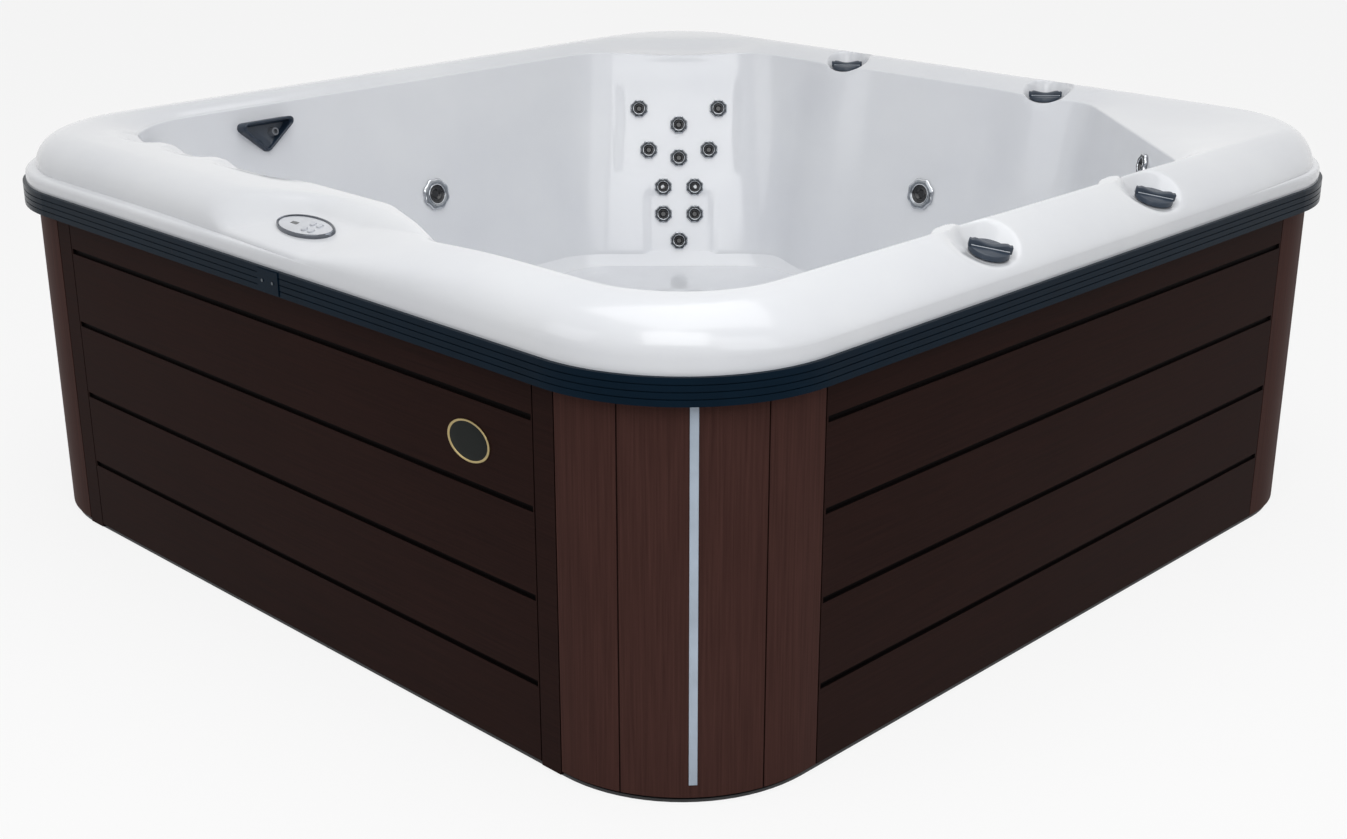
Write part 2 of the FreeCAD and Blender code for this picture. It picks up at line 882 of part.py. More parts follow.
def make_frame():
    """Timber frame: on each side a base rail, a top rail under the shell's flange and posts."""
    depth = (f"-{FRAME_FACE}", f"-{FRAME_FACE} + rail_depth")
    along = (f"-{STRAIGHT}", STRAIGHT)
    low = block("base_rail", along, depth, ("tray_plate", "tray_plate + rail_height"))
    high = block("top_rail", along, depth, ("flange_bottom - rail_height", "flange_bottom"))
    post_z = ("tray_plate + rail_height", "flange_bottom - rail_height")
    posts = []
    for index, place in enumerate(("-post_spacing", "0", "post_spacing")):
        span = (f"{place} - post_width / 2", f"{place} + post_width / 2")
        posts.append(block(f"post_{index}", span, depth, post_z))
    rails = []
    uprights = []
    for angle in (0, 90, 180, 270):
        rails += [turned(f"{rail.Name}_{angle}", rail, angle) for rail in (low, high)]
        uprights += [turned(f"{post.Name}_{angle}", post, angle) for post in posts]
    node("frame_rails", group("frame_rails_group", *rails))
    node("frame_posts", group("frame_posts_group", *uprights))


def rectangle(sketch, x, y):
    """Closed rectangle in a sketch with its four sides bound to expressions."""
    first = sketch.GeometryCount
    points = (Vector(0, 0, 0), Vector(10, 0, 0), Vector(10, 10, 0), Vector(0, 10, 0))
    for index in range(4):
        sketch.addGeometry(Part.LineSegment(points[index], points[(index + 1) % 4]), False)
    for index in range(4):
        sketch.addConstraint(Sketcher.Constraint("Coincident", first + index, 2, first + (index + 1) % 4, 1))
    for index, kind in ((0, "Horizontal"), (2, "Horizontal"), (1, "Vertical"), (3, "Vertical")):
        sketch.addConstraint(Sketcher.Constraint(kind, first + index))
    limits = (("DistanceX", 0, x[0]), ("DistanceX", 1, x[1]), ("DistanceY", 0, y[0]), ("DistanceY", 2, y[1]))
    for kind, line, text in limits:
        number = sketch.addConstraint(Sketcher.Constraint(kind, -1, 1, first + line, 1, 5.0))
        sketch.setExpression(f"Constraints[{number}]", bound(text))


def face_sketch(body, name, x, y, out="0"):
    """Rectangle drawn on the body's upright front plane, moved outwards by an expression."""
    plane = next(item for item in body.Origin.OriginFeatures if item.Role == "XZ_Plane")
    sketch = body.newObject("Sketcher::SketchObject", name)
    sketch.AttachmentSupport = (plane, [""])
    sketch.MapMode = "FlatFace"
    sketch.setExpression("AttachmentOffset.Base.z", bound(out))
    rectangle(sketch, x, y)
    return sketch


def sunk(body, sketch, depth):
    """Pocket of a sketch into the body's face."""
    pocket_cut = body.newObject("PartDesign::Pocket", sketch.Name + "_cut")
    pocket_cut.Profile = sketch
    return bind(pocket_cut, Length=depth)


GROOVES = 4


def grooved_panel(name, half, margin, stiles=False):
    """Front skirt panel with level grooves and, on the access panel, two end stiles."""
    body = doc.addObject("PartDesign::Body", name + "_body")
    body.setExpression("Placement.Base.y", bound(f"-{INNER_FACE}"))
    sketch = face_sketch(body, name + "_outline", (f"-{half}", half), ("panel_bottom", "panel_top"))
    pad = body.newObject("PartDesign::Pad", name + "_pad")
    pad.Profile = sketch
    bind(pad, Length="panel_thickness")
    if stiles:
        edge = f"({half} - stile_width)"
        ends = (("left", (f"-{half}", f"-{edge}")), ("right", (edge, half)))
        for side, span in ends:
            drop = ("panel_bottom - stile_drop", "panel_bottom + stile_drop")
            foot = body.newObject("PartDesign::Pad", f"{name}_{side}_foot")
            foot.Profile = face_sketch(body, f"{name}_{side}_stile", span, drop)
            bind(foot, Length="panel_thickness")
        for side, place in (("left", f"-{edge}"), ("right", edge)):
            span = (f"{place} - stile_line / 2", f"{place} + stile_line / 2")
            rise = ("panel_bottom - stile_drop", "panel_top")
            line = face_sketch(body, f"{name}_{side}_line", span, rise, "panel_thickness")
            sunk(body, line, "stile_line")
    rows = ("groove_pitch - groove_width / 2", "groove_pitch + groove_width / 2")
    span = (f"-({half} - {margin})", f"{half} - {margin}")
    groove = face_sketch(body, name + "_groove", span, rows, "panel_thickness")
    first = sunk(body, groove, "groove_depth")
    pattern = body.newObject("PartDesign::LinearPattern", name + "_grooves")
    pattern.Originals = [first]
    pattern.Direction = (groove, ["V_Axis"])
    pattern.Occurrences = GROOVES
    bind(pattern, Length=f"groove_pitch * {GROOVES - 1}")
    body.Tip = pattern
    return body


def make_panels():
    """Four flat skirt panels; the front one is the access panel of the pump bay."""
    wide = f"({STRAIGHT} - panel_gap)"
    narrow = f"({STRAIGHT} - corner_reach - panel_gap)"
    margin = "(stile_width + groove_margin)"
    node("front_panel", grooved_panel("front_panel", wide, margin, stiles=True))
    side = grooved_panel("side_panel", narrow, "groove_margin")
    back = grooved_panel("plain_panel", wide, "groove_margin")
    copies = (("right_panel", side, 90), ("back_panel", back, 180), ("left_panel", side, 270))
    for name, form, angle in copies:
        node(name, turned(name + "_form", form, angle))


def corner_tool(name, x, y, z, angle):
    """Box on a spoke of the rounded corner, at an angle given by an expression."""
    thing = group(name, block(name + "_box", x, y, z))
    thing.Placement = Placement(Vector(), Rotation(Vector(0, 0, 1), 45))
    thing.setExpression("Placement.Rotation.Angle", bound(angle))
    return seat(thing, STRAIGHT, STRAIGHT)


def corner_forms(side):
    """One rounded corner panel with two fine lines, and its light strip.

    The panel reaches past its arc on one side: the one that faces X, or the one that faces Y.
    """
    faces_x = side == "x"
    outer = rod(f"corner_outer_{side}", "corner_radius", "panel_top - panel_bottom", CORNER_CENTRE)
    outer.Angle = 90
    bend = "corner_radius - panel_thickness"
    inner = rod(f"corner_inner_{side}", bend, "panel_top - panel_bottom", CORNER_CENTRE)
    along = (f"{STRAIGHT} - corner_reach", STRAIGHT)
    thick = (INNER_FACE, "skirt_half")
    spans = (thick, along) if faces_x else (along, thick)
    reach = block(f"corner_flat_{side}", *spans, ("panel_bottom", "panel_top"))
    middle = f"45 {'-' if faces_x else '+'} strip_turn"
    beyond = "corner_radius + panel_thickness"
    line_x = ("corner_radius - corner_line_depth", beyond)
    line_y = ("-corner_line_width / 2", "corner_line_width / 2")
    line_z = ("panel_bottom - stile_drop", "panel_top + stile_drop")
    tools = []
    for sign, name in (("-", "first"), ("+", "second")):
        angle = f"{middle} {sign} corner_line_angle"
        tools.append(corner_tool(f"corner_line_{name}_{side}", line_x, line_y, line_z, angle))
    slot_x = ("corner_radius - strip_depth - fit_gap", beyond)
    slot_y = ("-strip_width / 2 - fit_gap", "strip_width / 2 + fit_gap")
    slot_z = ("strip_bottom - fit_gap", f"{TRIM_BOTTOM}")
    tools.append(corner_tool(f"strip_slot_{side}", slot_x, slot_y, slot_z, middle))
    bent = cut(f"corner_bent_{side}", outer, inner)
    panel = cut(f"corner_panel_{side}", fuse(f"corner_solid_{side}", bent, reach), *tools)
    strip_x = ("corner_radius - strip_depth", "corner_radius + strip_proud")
    strip_y = ("-strip_width / 2", "strip_width / 2")
    strip_z = ("strip_bottom", f"{TRIM_BOTTOM} - fit_gap")
    return panel, corner_tool(f"light_strip_{side}", strip_x, strip_y, strip_z, middle)


def make_corners():
    """Rounded corner panels and the light strips set into them."""
    forms = {side: corner_forms(side) for side in ("x", "y")}
    strips = []
    for name, angle, side in CORNERS:
        panel, strip = forms[side]
        node(f"corner_panel_{name}", turned(f"corner_panel_{name}_form", panel, angle))
        strips.append(turned(f"light_strip_{name}", strip, angle))
    node("corner_light_strips", group("corner_light_strips_group", *strips))


TRIM_RIBS = 3


def make_trim():
    """Ribbed edge trim round the rim, with a joint in the front that a screwed clip bridges."""
    ring = rounded_tray("trim_outer", TRIM_FACE, TRIM_BOTTOM, "flange_bottom")
    through = (TRIM_BOTTOM + " - wall", "flange_bottom + wall")
    tools = [rounded_tray("trim_inner", "skirt_half + fit_gap", *through)]
    for index in range(1, TRIM_RIBS + 1):
        low = f"{TRIM_BOTTOM} + trim_rib_pitch * {index} - trim_rib / 2"
        high = f"{TRIM_BOTTOM} + trim_rib_pitch * {index} + trim_rib / 2"
        wide = rounded_tray(f"trim_rib_wide_{index}", f"{TRIM_FACE} + trim_rib", low, high)
        core = rounded_tray(f"trim_rib_core_{index}", f"{TRIM_FACE} - trim_rib", low, high)
        tools.append(cut(f"trim_rib_{index}", wide, core))
    joint_x = ("trim_joint_x", "trim_joint_x + trim_joint_gap")
    joint_y = (f"-{TRIM_FACE} - wall", "-skirt_half")
    tools.append(block("trim_joint", joint_x, joint_y, through))
    node("edge_trim", cut("edge_trim_form", ring, *tools))
    clip_x = ("trim_joint_x - clip_length", "trim_joint_x")
    clip_y = (f"-{TRIM_FACE} - clip_thickness", f"-{TRIM_FACE}")
    clip_z = (f"{TRIM_BOTTOM} + clip_thickness", "flange_bottom - clip_thickness")
    node("trim_clip", block("trim_clip_form", clip_x, clip_y, clip_z))
    screws = []
    for index, share in enumerate(("1 / 4", "3 / 4")):
        at = (f"trim_joint_x - clip_length * {share}", clip_y[0], "flange_bottom - trim_height / 2")
        screws.append(rod(f"trim_screw_{index}", "screw_radius", "screw_head", at, "-Y"))
    node("trim_screws", group("trim_screws_group", *screws))


# Jets


LOBES = 8
LOBE_POINTS = 4


def scalloped_disc(radius, depth, low, high):
    """Disc with a wavy edge of even lobes."""
    points = []
    for index in range(LOBES * LOBE_POINTS):
        turn = 2 * math.pi * index / (LOBES * LOBE_POINTS)
        reach = radius - depth * (1 + math.cos(LOBES * turn)) / 2
        points.append(Vector(reach * math.cos(turn), reach * math.sin(turn), low))
    face = Part.Face(Part.makePolygon(points + points[:1]))
    return face.extrude(Vector(0, 0, high - low))


def jet_body(kind):
    """Jet body: a barrel through the wall with a lip in front and a clamping nut behind it."""
    hole = JET_SIZES[kind][1]
    bore = JET_SIZES[kind][2]
    barrel = rod(f"{kind}_barrel", hole, "jet_depth + jet_lip", ("0", "0", "-jet_depth"))
    lip = rod(f"{kind}_lip", f"{hole} + 2 * jet_lip", "jet_lip")
    nut = rod(f"{kind}_nut", f"{hole} + wall", "jet_nut", ("0", "0", "-wall - jet_nut"))
    solid = fuse(f"{kind}_jet_solid", barrel, lip, nut)
    opening = rod(f"{kind}_opening", f"{bore} + running_gap", "jet_depth * 2", ("0", "0", "-jet_depth * 1.5"))
    return cut(f"{kind}_jet_body", solid, opening)


def jet_face(kind):
    """Turning jet face: a scalloped disc with a nozzle hole and a stub that runs in the body."""
    radius = size(JET_SIZES[kind][0])
    bore = size(JET_SIZES[kind][2])
    low = size("jet_lip") + size("fit_gap")
    high = low + size("jet_face")
    disc = scalloped_disc(radius, radius * size("scallop_share"), low, high)
    reach = size("jet_stub")
    stub = Part.makeCylinder(bore, low + reach, Vector(0, 0, -reach))
    nozzle = scalloped_disc(bore, 0, high - size("jet_face") / 2, high + 1)
    return disc.fuse(stub).cut(nozzle)


def make_jets():
    """Bodies and turning faces of all jets."""
    bodies = {kind: [] for kind in JET_SIZES}
    body_forms = {kind: solid_of(jet_body(kind)) for kind in JET_SIZES}
    face_forms = {kind: jet_face(kind) for kind in JET_SIZES}
    for name, kind, place in jet_places():
        bodies[kind].append(held(f"{name}_body", body_forms[kind], place))
        node(name, held(f"{name}_face", face_forms[kind], place))
    node("small_jet_bodies", group("small_jet_bodies_group", *bodies["small"], *bodies["mini"]))
    node("large_jet_bodies", group("large_jet_bodies_group", *bodies["large"]))


# Valves


KNOB_SIDES = 24


def prism(name, sides, radius, height, at=("0", "0", "0"), taper=0):
    """Upright prism on a regular polygon."""
    polygon = doc.addObject("Part::RegularPolygon", name + "_rim")
    polygon.Polygon = sides
    bind(polygon, Circumradius=radius)
    thing = doc.addObject("Part::Extrusion", name)
    thing.Base = polygon
    thing.Dir = Vector(0, 0, 1)
    thing.Solid = True
    thing.TaperAngle = -taper
    bind(thing, LengthFwd=height)
    return seat(thing, *at)


def make_valves():
    """Valve bodies under the rim pockets and the knobs that turn in them."""
    neck = rod("valve_neck_form", "valve_neck", "valve_depth", ("0", "0", "-valve_depth"))
    chamber = rod("valve_chamber_form", "valve_chamber", "valve_depth / 2", ("0", "0", "-valve_depth"))
    lip = rod("valve_lip", "valve_chamber", "jet_lip")
    bore_at = ("0", "0", "-valve_bore")
    bore = rod("valve_bore", "valve_stem + running_gap", "valve_depth * 2", bore_at)
    body = cut("valve_body", fuse("valve_solid", neck, chamber, lip), bore)
    base_z = "jet_lip + fit_gap"
    base_at = ("0", "0", base_z)
    base = prism("knob_base_form", KNOB_SIDES, "knob_radius", "knob_base", base_at, size("knob_taper"))
    stem_at = ("0", "0", "-valve_depth / 2")
    stem = rod("knob_stem", "valve_stem", "valve_depth / 2 + knob_base", stem_at)
    bar_x = ("-knob_bar_length / 2", "knob_bar_length / 2")
    bar_y = ("-knob_bar_width / 2", "knob_bar_width / 2")
    bar = block("knob_bar", bar_x, bar_y, (f"{base_z} + knob_base / 2", f"{base_z} + knob_bar_height"))
    saddle_at = ("0", "-knob_bar_width", f"{base_z} + saddle_rise")
    saddle = rod("knob_saddle", "knob_radius", "knob_bar_width * 2", saddle_at, "+Y")
    knob = fuse("knob_form", cut("knob_handle", fuse("knob_blank", base, bar), saddle), stem)
    body_form = solid_of(body)
    knob_form = solid_of(knob)
    rest = Placement(Vector(), Rotation(Vector(0, 0, 1), size("knob_turn")))
    bodies = []
    for name, place in valve_places():
        bodies.append(held(f"valve_body_{name}", body_form, place))
        node(f"valve_knob_{name}", held(f"knob_{name}", knob_form, place.multiply(rest)))
    node("valve_bodies", group("valve_bodies_group", *bodies))


# Control panel


BUTTON_SIDES = 20


def make_controls():
    """Control panel: oval housing, bezel, display and spring buttons."""
    place = control_place()
    plate = oval("control_plate_form", "control_long", "control_short", "control_plate")
    box_x = ("-control_box_long / 2", "control_box_long / 2")
    box_y = ("-control_box_short / 2", "control_box_short / 2")
    box = block("control_box_form", box_x, box_y, ("-control_box_depth", "control_plate / 2"))
    window_x = ("display_x - display_long / 2", "display_x + display_long / 2")
    window_y = ("-display_short / 2", "display_short / 2")
    window_z = ("control_plate - display_depth", "control_plate + wall")
    window = block("display_window", window_x, window_y, window_z)
    spots = []
    for column_index in range(2):
        for row, sign in (("upper", ""), ("lower", "-")):
            x = f"button_first_x + button_pitch * {column_index}"
            spots.append((f"button_{row}_{column_index + 1}", (x, f"{sign}button_row")))
    well_low = "control_plate - button_depth - button_travel - fit_gap"
    wells = []
    for name, (x, y) in spots:
        wells.append(rod(f"{name}_well", "button_radius + fit_gap", "button_depth * 3", (x, y, well_low)))
    housing = cut("control_housing_form", fuse("control_solid", plate, box), window, *wells)
    housing.Placement = place
    node("control_housing", housing)
    outer = oval("bezel_outer", "control_long + bezel_width", "control_short + bezel_width", "bezel_height")
    inner = oval("bezel_inner", "control_long + fit_gap", "control_short + fit_gap", "bezel_height")
    bezel = cut("bezel_form", outer, inner)
    bezel.Placement = place
    node("control_bezel", bezel)
    glass_x = (window_x[0] + " + fit_gap", window_x[1] + " - fit_gap")
    glass_y = (window_y[0] + " + fit_gap", window_y[1] + " - fit_gap")
    glass = block("display_glass", glass_x, glass_y, ("control_plate - display_depth", "control_plate"))
    display = group("display_form", glass)
    display.Placement = place
    node("control_display", display)
    for name, (x, y) in spots:
        at = (x, y, "control_plate - button_depth")
        cap = prism(f"{name}_cap", BUTTON_SIDES, "button_radius", "button_depth + button_height", at)
        button = group(f"{name}_form", cap)
        button.Placement = place
        node(name, button)


# Spout


HOOD_RISE = 0.6
HOOD_FLOOR = 0.05


def hood_wire(inset, depth, shrink):
    """V-shaped outline of the spout's hood at a depth from the wall."""
    half = size("spout_half") - inset
    tall = size("spout_height") - inset
    top = -inset
    low = -tall + (tall - inset) * shrink
    narrow = half * (1 - shrink / 4)
    points = (
        Vector(narrow, top, depth),
        Vector(narrow, top + (low - top) / 4, depth),
        Vector(size("spout_tip"), low, depth),
        Vector(-size("spout_tip"), low, depth),
        Vector(-narrow, top + (low - top) / 4, depth),
        Vector(-narrow, top, depth),
    )
    return Part.makePolygon(points + points[:1])


def make_spout():
    """V-shaped spout hood on the left wall and the nozzle inside it."""
    depth = size("spout_depth")
    skin = size("spout_wall")
    outer = Part.makeLoft([hood_wire(0, 0, 0), hood_wire(0, depth, HOOD_RISE)], True, True)
    hollow = [hood_wire(skin, skin, HOOD_FLOOR), hood_wire(skin, depth + skin, HOOD_RISE)]
    inner = Part.makeLoft(hollow, True, True)
    mount = spout_place()
    hole = Part.makeCylinder(size("spout_hole") + size("fit_gap"), 3 * skin, Vector(0, 0, -skin))
    hole.Placement = mount.inverse().multiply(nozzle_place())
    node("spout_hood", held("spout_hood_form", outer.cut([inner, hole]), mount))
    tail = rod("nozzle_tail", "spout_hole", "jet_depth / 2 + spout_wall", ("0", "0", "-jet_depth / 2"))
    head_at = ("0", "0", "spout_wall")
    head = cone("nozzle_head", "nozzle_radius", "nozzle_tip", "nozzle_length", head_at)
    mouth_at = ("0", "0", "spout_wall + nozzle_length / 2")
    mouth = rod("nozzle_hollow", "nozzle_mouth", "nozzle_length", mouth_at)
    nozzle = cut("spout_nozzle_form", fuse("nozzle_solid", tail, head), mouth)
    nozzle.Placement = nozzle_place()
    node("spout_nozzle", nozzle)


# Skim filter


PLEATS = 24


def pleated(name, radius, depth, length, at):
    """Pleated cylinder along X."""
    points = []
    for index in range(2 * PLEATS):
        turn = math.pi * index / PLEATS
        reach = radius - depth * (index % 2)
        points.append(Vector(0, reach * math.cos(turn), reach * math.sin(turn)))
    face = Part.Face(Part.makePolygon(points + points[:1]))
    return held(name, face.extrude(Vector(length, 0, 0)), Placement(at, Rotation()))


def make_filter():
    """Skim filter in the shelf wall: case, front frame, swinging weir and pleated cartridge."""
    left = "(filter_x - filter_half)"
    right = "(filter_x + filter_half)"
    front = "(-shelf_wall - wall)"
    back = f"({front} - filter_case_depth)"
    outer_x = (f"{left} - filter_case_wall", f"{right} + filter_case_wall")
    outer_z = ("filter_case_bottom", "filter_mouth_top + filter_case_wall")
    case = block("filter_case_outer", outer_x, (back, front), outer_z)
    inner_y = (f"{back} + filter_case_wall", f"{front} + wall")
    inner_z = ("filter_case_bottom + filter_case_wall", "filter_mouth_top")
    hollow = block("filter_case_inner", (left, right), inner_y, inner_z)
    node("filter_case", cut("filter_case_form", case, hollow))
    flange_x = (f"{left} - filter_frame", f"{right} + filter_frame")
    flange_z = ("filter_mouth_bottom - filter_frame", "filter_mouth_top + filter_frame")
    flange = block("filter_flange", flange_x, ("-shelf_wall", "-shelf_wall + filter_frame_depth"), flange_z)
    collar_z = ("filter_mouth_bottom", "filter_mouth_top")
    collar = block("filter_collar", (left, right), (front, "-shelf_wall"), collar_z)
    skin = "filter_case_wall"
    mouth_x = (f"{left} + {skin}", f"{right} - {skin}")
    mouth_z = (f"filter_mouth_bottom + {skin}", f"filter_mouth_top - {skin}")
    mouth_y = (f"{front} - wall", "-shelf_wall + 2 * filter_frame_depth")
    mouth = block("filter_mouth", mouth_x, mouth_y, mouth_z)
    pivot = ("-shelf_wall + filter_frame_depth / 2", f"filter_mouth_bottom + {skin} + 2 * weir_pin")
    axle_at = (f"{left} - {skin}", *pivot)
    axle = rod("weir_axle_hole", "weir_pin + running_gap", f"2 * filter_half + 2 * {skin}", axle_at, "+X")
    node("filter_front", cut("filter_front_form", fuse("filter_front_solid", flange, collar), mouth, axle))
    flap_x = (f"{mouth_x[0]} + 2 * fit_gap", f"{mouth_x[1]} - 2 * fit_gap")
    flap_y = (f"{pivot[0]} - weir_thickness / 2", f"{pivot[0]} + weir_thickness / 2")
    flap = block("weir_plate", flap_x, flap_y, (f"{pivot[1]} - weir_pin", f"{pivot[1]} + weir_height"))
    pin_at = (f"{left} + fit_gap", *pivot)
    pin = rod("weir_pin_form", "weir_pin", "2 * filter_half - 2 * fit_gap", pin_at, "+X")
    node("weir_flap", fuse("weir_flap_form", flap, pin))
    length = 2 * size("filter_half") - 2 * size("filter_case_wall")
    radius = size("cartridge_radius")
    level = size("filter_case_bottom") + size("filter_case_wall") + size("fit_gap") + radius
    depth = -size("shelf_wall") - size("wall") - size("filter_case_depth") / 2
    at = Vector(size("filter_x") - length / 2, depth, level)
    pleats = pleated("cartridge_pleats", radius, size("cartridge_pleat"), length, at)
    core_z = f"filter_case_bottom + {skin} + fit_gap + cartridge_radius"
    core_at = (left, f"{front} - filter_case_depth / 2", core_z)
    core = rod("cartridge_bore", "cartridge_core", "2 * filter_half", core_at, "+X")
    node("filter_cartridge", cut("filter_cartridge_form", pleats, core))


# Footwell fittings


def make_footwell_fittings():
    """Suction covers and light lens on the footwell walls and the drain cover in its floor."""
    covers = []
    for index, sign in enumerate(("-", "")):
        at = (f"{sign}suction_spread", "-foot_half", "suction_z")
        edge = "suction_rim"
        dome = cone(f"suction_dome_{index}", "suction_radius", edge, "suction_height", at, "+Y")
        tail_at = (at[0], "-foot_half - wall - suction_neck", at[2])
        tail = rod(f"suction_tail_{index}", "suction_neck", "wall + suction_neck", tail_at, "+Y")
        covers.append(fuse(f"suction_cover_{index}", dome, tail))
    node("suction_covers", group("suction_covers_group", *covers))
    lens_at = ("0", "foot_half", "light_z")
    lens = cone("light_lens_dome", "light_radius", "light_rim", "suction_height", lens_at, "-Y")
    stem_at = ("0", "foot_half + wall + suction_neck", "light_z")
    stem = rod("light_stem", "suction_neck", "wall + suction_neck", stem_at, "-Y")
    node("footwell_light", fuse("footwell_light_form", lens, stem))
    disc_at = ("0", "0", "foot_floor")
    disc = cone("drain_disc", "drain_radius", "drain_rim", "drain_height", disc_at)
    drop = rod("drain_tail", "drain_neck", "foot_floor / 2", ("0", "0", "foot_floor / 2"))
    node("drain_cover", fuse("drain_cover_form", disc, drop))


# Pump bay


def make_pump_bay():
    """Pump, heater, equipment box and the main pipes under the seats."""
    axis_at = ("pump_x", "motor_back", "pump_z")
    motor_length = "volute_back - motor_back"
    motor = rod("motor_barrel", "motor_radius", motor_length, axis_at, "+Y")
    foot_x = ("pump_x - motor_foot_half", "pump_x + motor_foot_half")
    foot_y = ("motor_back + motor_foot_inset", "volute_back - motor_foot_inset")
    foot = block("motor_foot", foot_x, foot_y, ("tray_plate", "pump_z - motor_radius / 2"))
    node("pump_motor", fuse("pump_motor_form", motor, foot))
    volute_at = ("pump_x", "volute_back", "pump_z")
    volute = rod("volute", "volute_radius", "volute_front - volute_back", volute_at, "+Y")
    inlet_at = ("pump_x", "volute_front", "pump_z")
    inlet = rod("pump_inlet_collar", "pump_inlet", "pump_inlet", inlet_at, "+Y")
    port = ("pump_x + volute_radius - pump_inlet", "(volute_back + volute_front) / 2")
    outlet_rise = "heater_z - elbow_radius - wall - pump_z"
    outlet = rod("pump_outlet", "pump_inlet - wall", outlet_rise, (*port, "pump_z"))
    shoe_x = ("pump_x - pump_inlet", "pump_x + pump_inlet")
    shoe_z = ("tray_plate", "pump_z - volute_radius / 2")
    shoe = block("volute_foot", shoe_x, ("volute_back", "volute_front"), shoe_z)
    node("pump_wet_end", fuse("pump_wet_end_form", volute, inlet, outlet, shoe))
    level = "heater_z"
    heater_at = ("heater_start", port[1], level)
    tube = rod("heater_tube", "heater_radius", "heater_end - heater_start", heater_at, "+X")
    node("heater", tube)
    box_z = ("tray_plate", "tray_plate + box_height")
    box_y = ("box_front", "box_back")
    node("equipment_box", block("equipment_box_form", ("box_left", "box_right"), box_y, box_z))
    bore = "pipe_radius"
    pipes = [
        rod("rise_from_pump", bore, "elbow_radius + wall", (*port, "heater_z - elbow_radius - wall")),
        ball("pump_elbow", "elbow_radius", (*port, level)),
        rod("pump_to_heater", bore, f"heater_start - ({port[0]})", (*port, level), "+X"),
        rod("heater_to_riser", bore, "riser_x - heater_end", ("heater_end", port[1], level), "+X"),
        ball("riser_elbow", "elbow_radius", ("riser_x", port[1], level)),
        rod("riser", bore, "manifold_z - heater_z", ("riser_x", port[1], level)),
        ball("manifold_elbow", "elbow_radius", ("riser_x", port[1], "manifold_z")),
        rod("manifold", bore, f"manifold_end - ({port[1]})", ("riser_x", port[1], "manifold_z"), "+Y"),
    ]
    supply = fuse("supply_pipe", *pipes)
    suction_y = "(-foot_half - wall - suction_neck)"
    header_y = f"({suction_y} - elbow_radius - wall)"
    returns = [
        rod("suction_header", bore, "2 * suction_spread", ("-suction_spread", header_y, "suction_z"), "+X"),
    ]
    for index, sign in enumerate(("-", "")):
        at = (f"{sign}suction_spread", header_y, "suction_z")
        returns.append(ball(f"suction_elbow_{index}", "elbow_radius", at))
        returns.append(rod(f"suction_drop_{index}", bore, "elbow_radius + wall", at, "+Y"))
    inlet_end = "(volute_front + pump_inlet)"
    returns.append(rod("pump_feed", bore, f"{header_y} - {inlet_end}", ("pump_x", inlet_end, "pump_z"), "+Y"))
    returns.append(ball("feed_elbow", "elbow_radius", ("pump_x", header_y, "pump_z")))
    returns.append(rod("feed_rise", bore, "suction_z - pump_z", ("pump_x", header_y, "pump_z")))
    node("plumbing_pipes", group("plumbing_pipes_group", supply, fuse("suction_pipe", *returns)))


def check_and_write():
    """Stop on any failed object or shape, then write one STEP file for each sub-part."""
    doc.recompute()
    for thing in doc.Objects:
        if "Invalid" in thing.State or "Error" in thing.State:
            raise RuntimeError(f"{thing.Label}: {thing.State}")
    os.makedirs("parts", exist_ok=True)
    for name, thing in nodes.items():
        shape = thing.Shape
        if shape.isNull() or not shape.isValid() or not shape.Solids:
            raise RuntimeError(f"{name}: the shape is not a valid solid")
        shape.exportStep(f"parts/{name}.step")
        print(f"{name}: {len(shape.Solids)} solids, {shape.Volume / 1000:.1f} cm3")


fill_sheet()
make_shell()
make_base()
make_frame()
make_panels()
make_corners()
make_trim()
make_jets()
make_valves()
make_controls()
make_spout()
make_filter()
make_footwell_fittings()
make_pump_bay()
check_and_write()
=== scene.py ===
"""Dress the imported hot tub: moulded shell, skirt and trim finishes, jets, valves and controls.

Metres, +Z up, origin on the floor under the middle of the tub. The front faces -Y.
"""

import json
import logging
import math
from dataclasses import dataclass, field
from enum import Enum

import bmesh
import bpy
import numpy as np
from mathutils import Matrix, Vector


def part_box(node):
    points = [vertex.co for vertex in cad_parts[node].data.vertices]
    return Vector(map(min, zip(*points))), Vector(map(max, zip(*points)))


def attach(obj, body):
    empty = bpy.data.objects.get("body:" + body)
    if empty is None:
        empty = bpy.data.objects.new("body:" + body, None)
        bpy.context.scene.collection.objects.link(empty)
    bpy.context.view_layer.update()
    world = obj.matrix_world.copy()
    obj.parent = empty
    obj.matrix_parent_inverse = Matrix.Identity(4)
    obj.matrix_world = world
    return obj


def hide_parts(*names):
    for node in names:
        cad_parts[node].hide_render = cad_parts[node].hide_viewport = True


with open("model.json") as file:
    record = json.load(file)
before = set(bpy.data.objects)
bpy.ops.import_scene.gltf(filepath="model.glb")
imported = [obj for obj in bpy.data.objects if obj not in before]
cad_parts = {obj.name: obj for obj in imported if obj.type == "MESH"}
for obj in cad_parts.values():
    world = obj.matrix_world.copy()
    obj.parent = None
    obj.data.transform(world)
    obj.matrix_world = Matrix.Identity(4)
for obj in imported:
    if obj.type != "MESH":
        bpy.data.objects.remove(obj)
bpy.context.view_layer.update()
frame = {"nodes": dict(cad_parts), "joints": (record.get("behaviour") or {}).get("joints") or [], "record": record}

log = logging.getLogger("hot_tub")

Pair = tuple[float, float]
Triple = tuple[float, float, float]
Section = tuple[Pair, ...]
Rings = list[tuple[np.ndarray, np.ndarray | float]]
Mesh = bmesh.types.BMesh
Paint = bpy.types.Material
Socket = bpy.types.NodeSocket

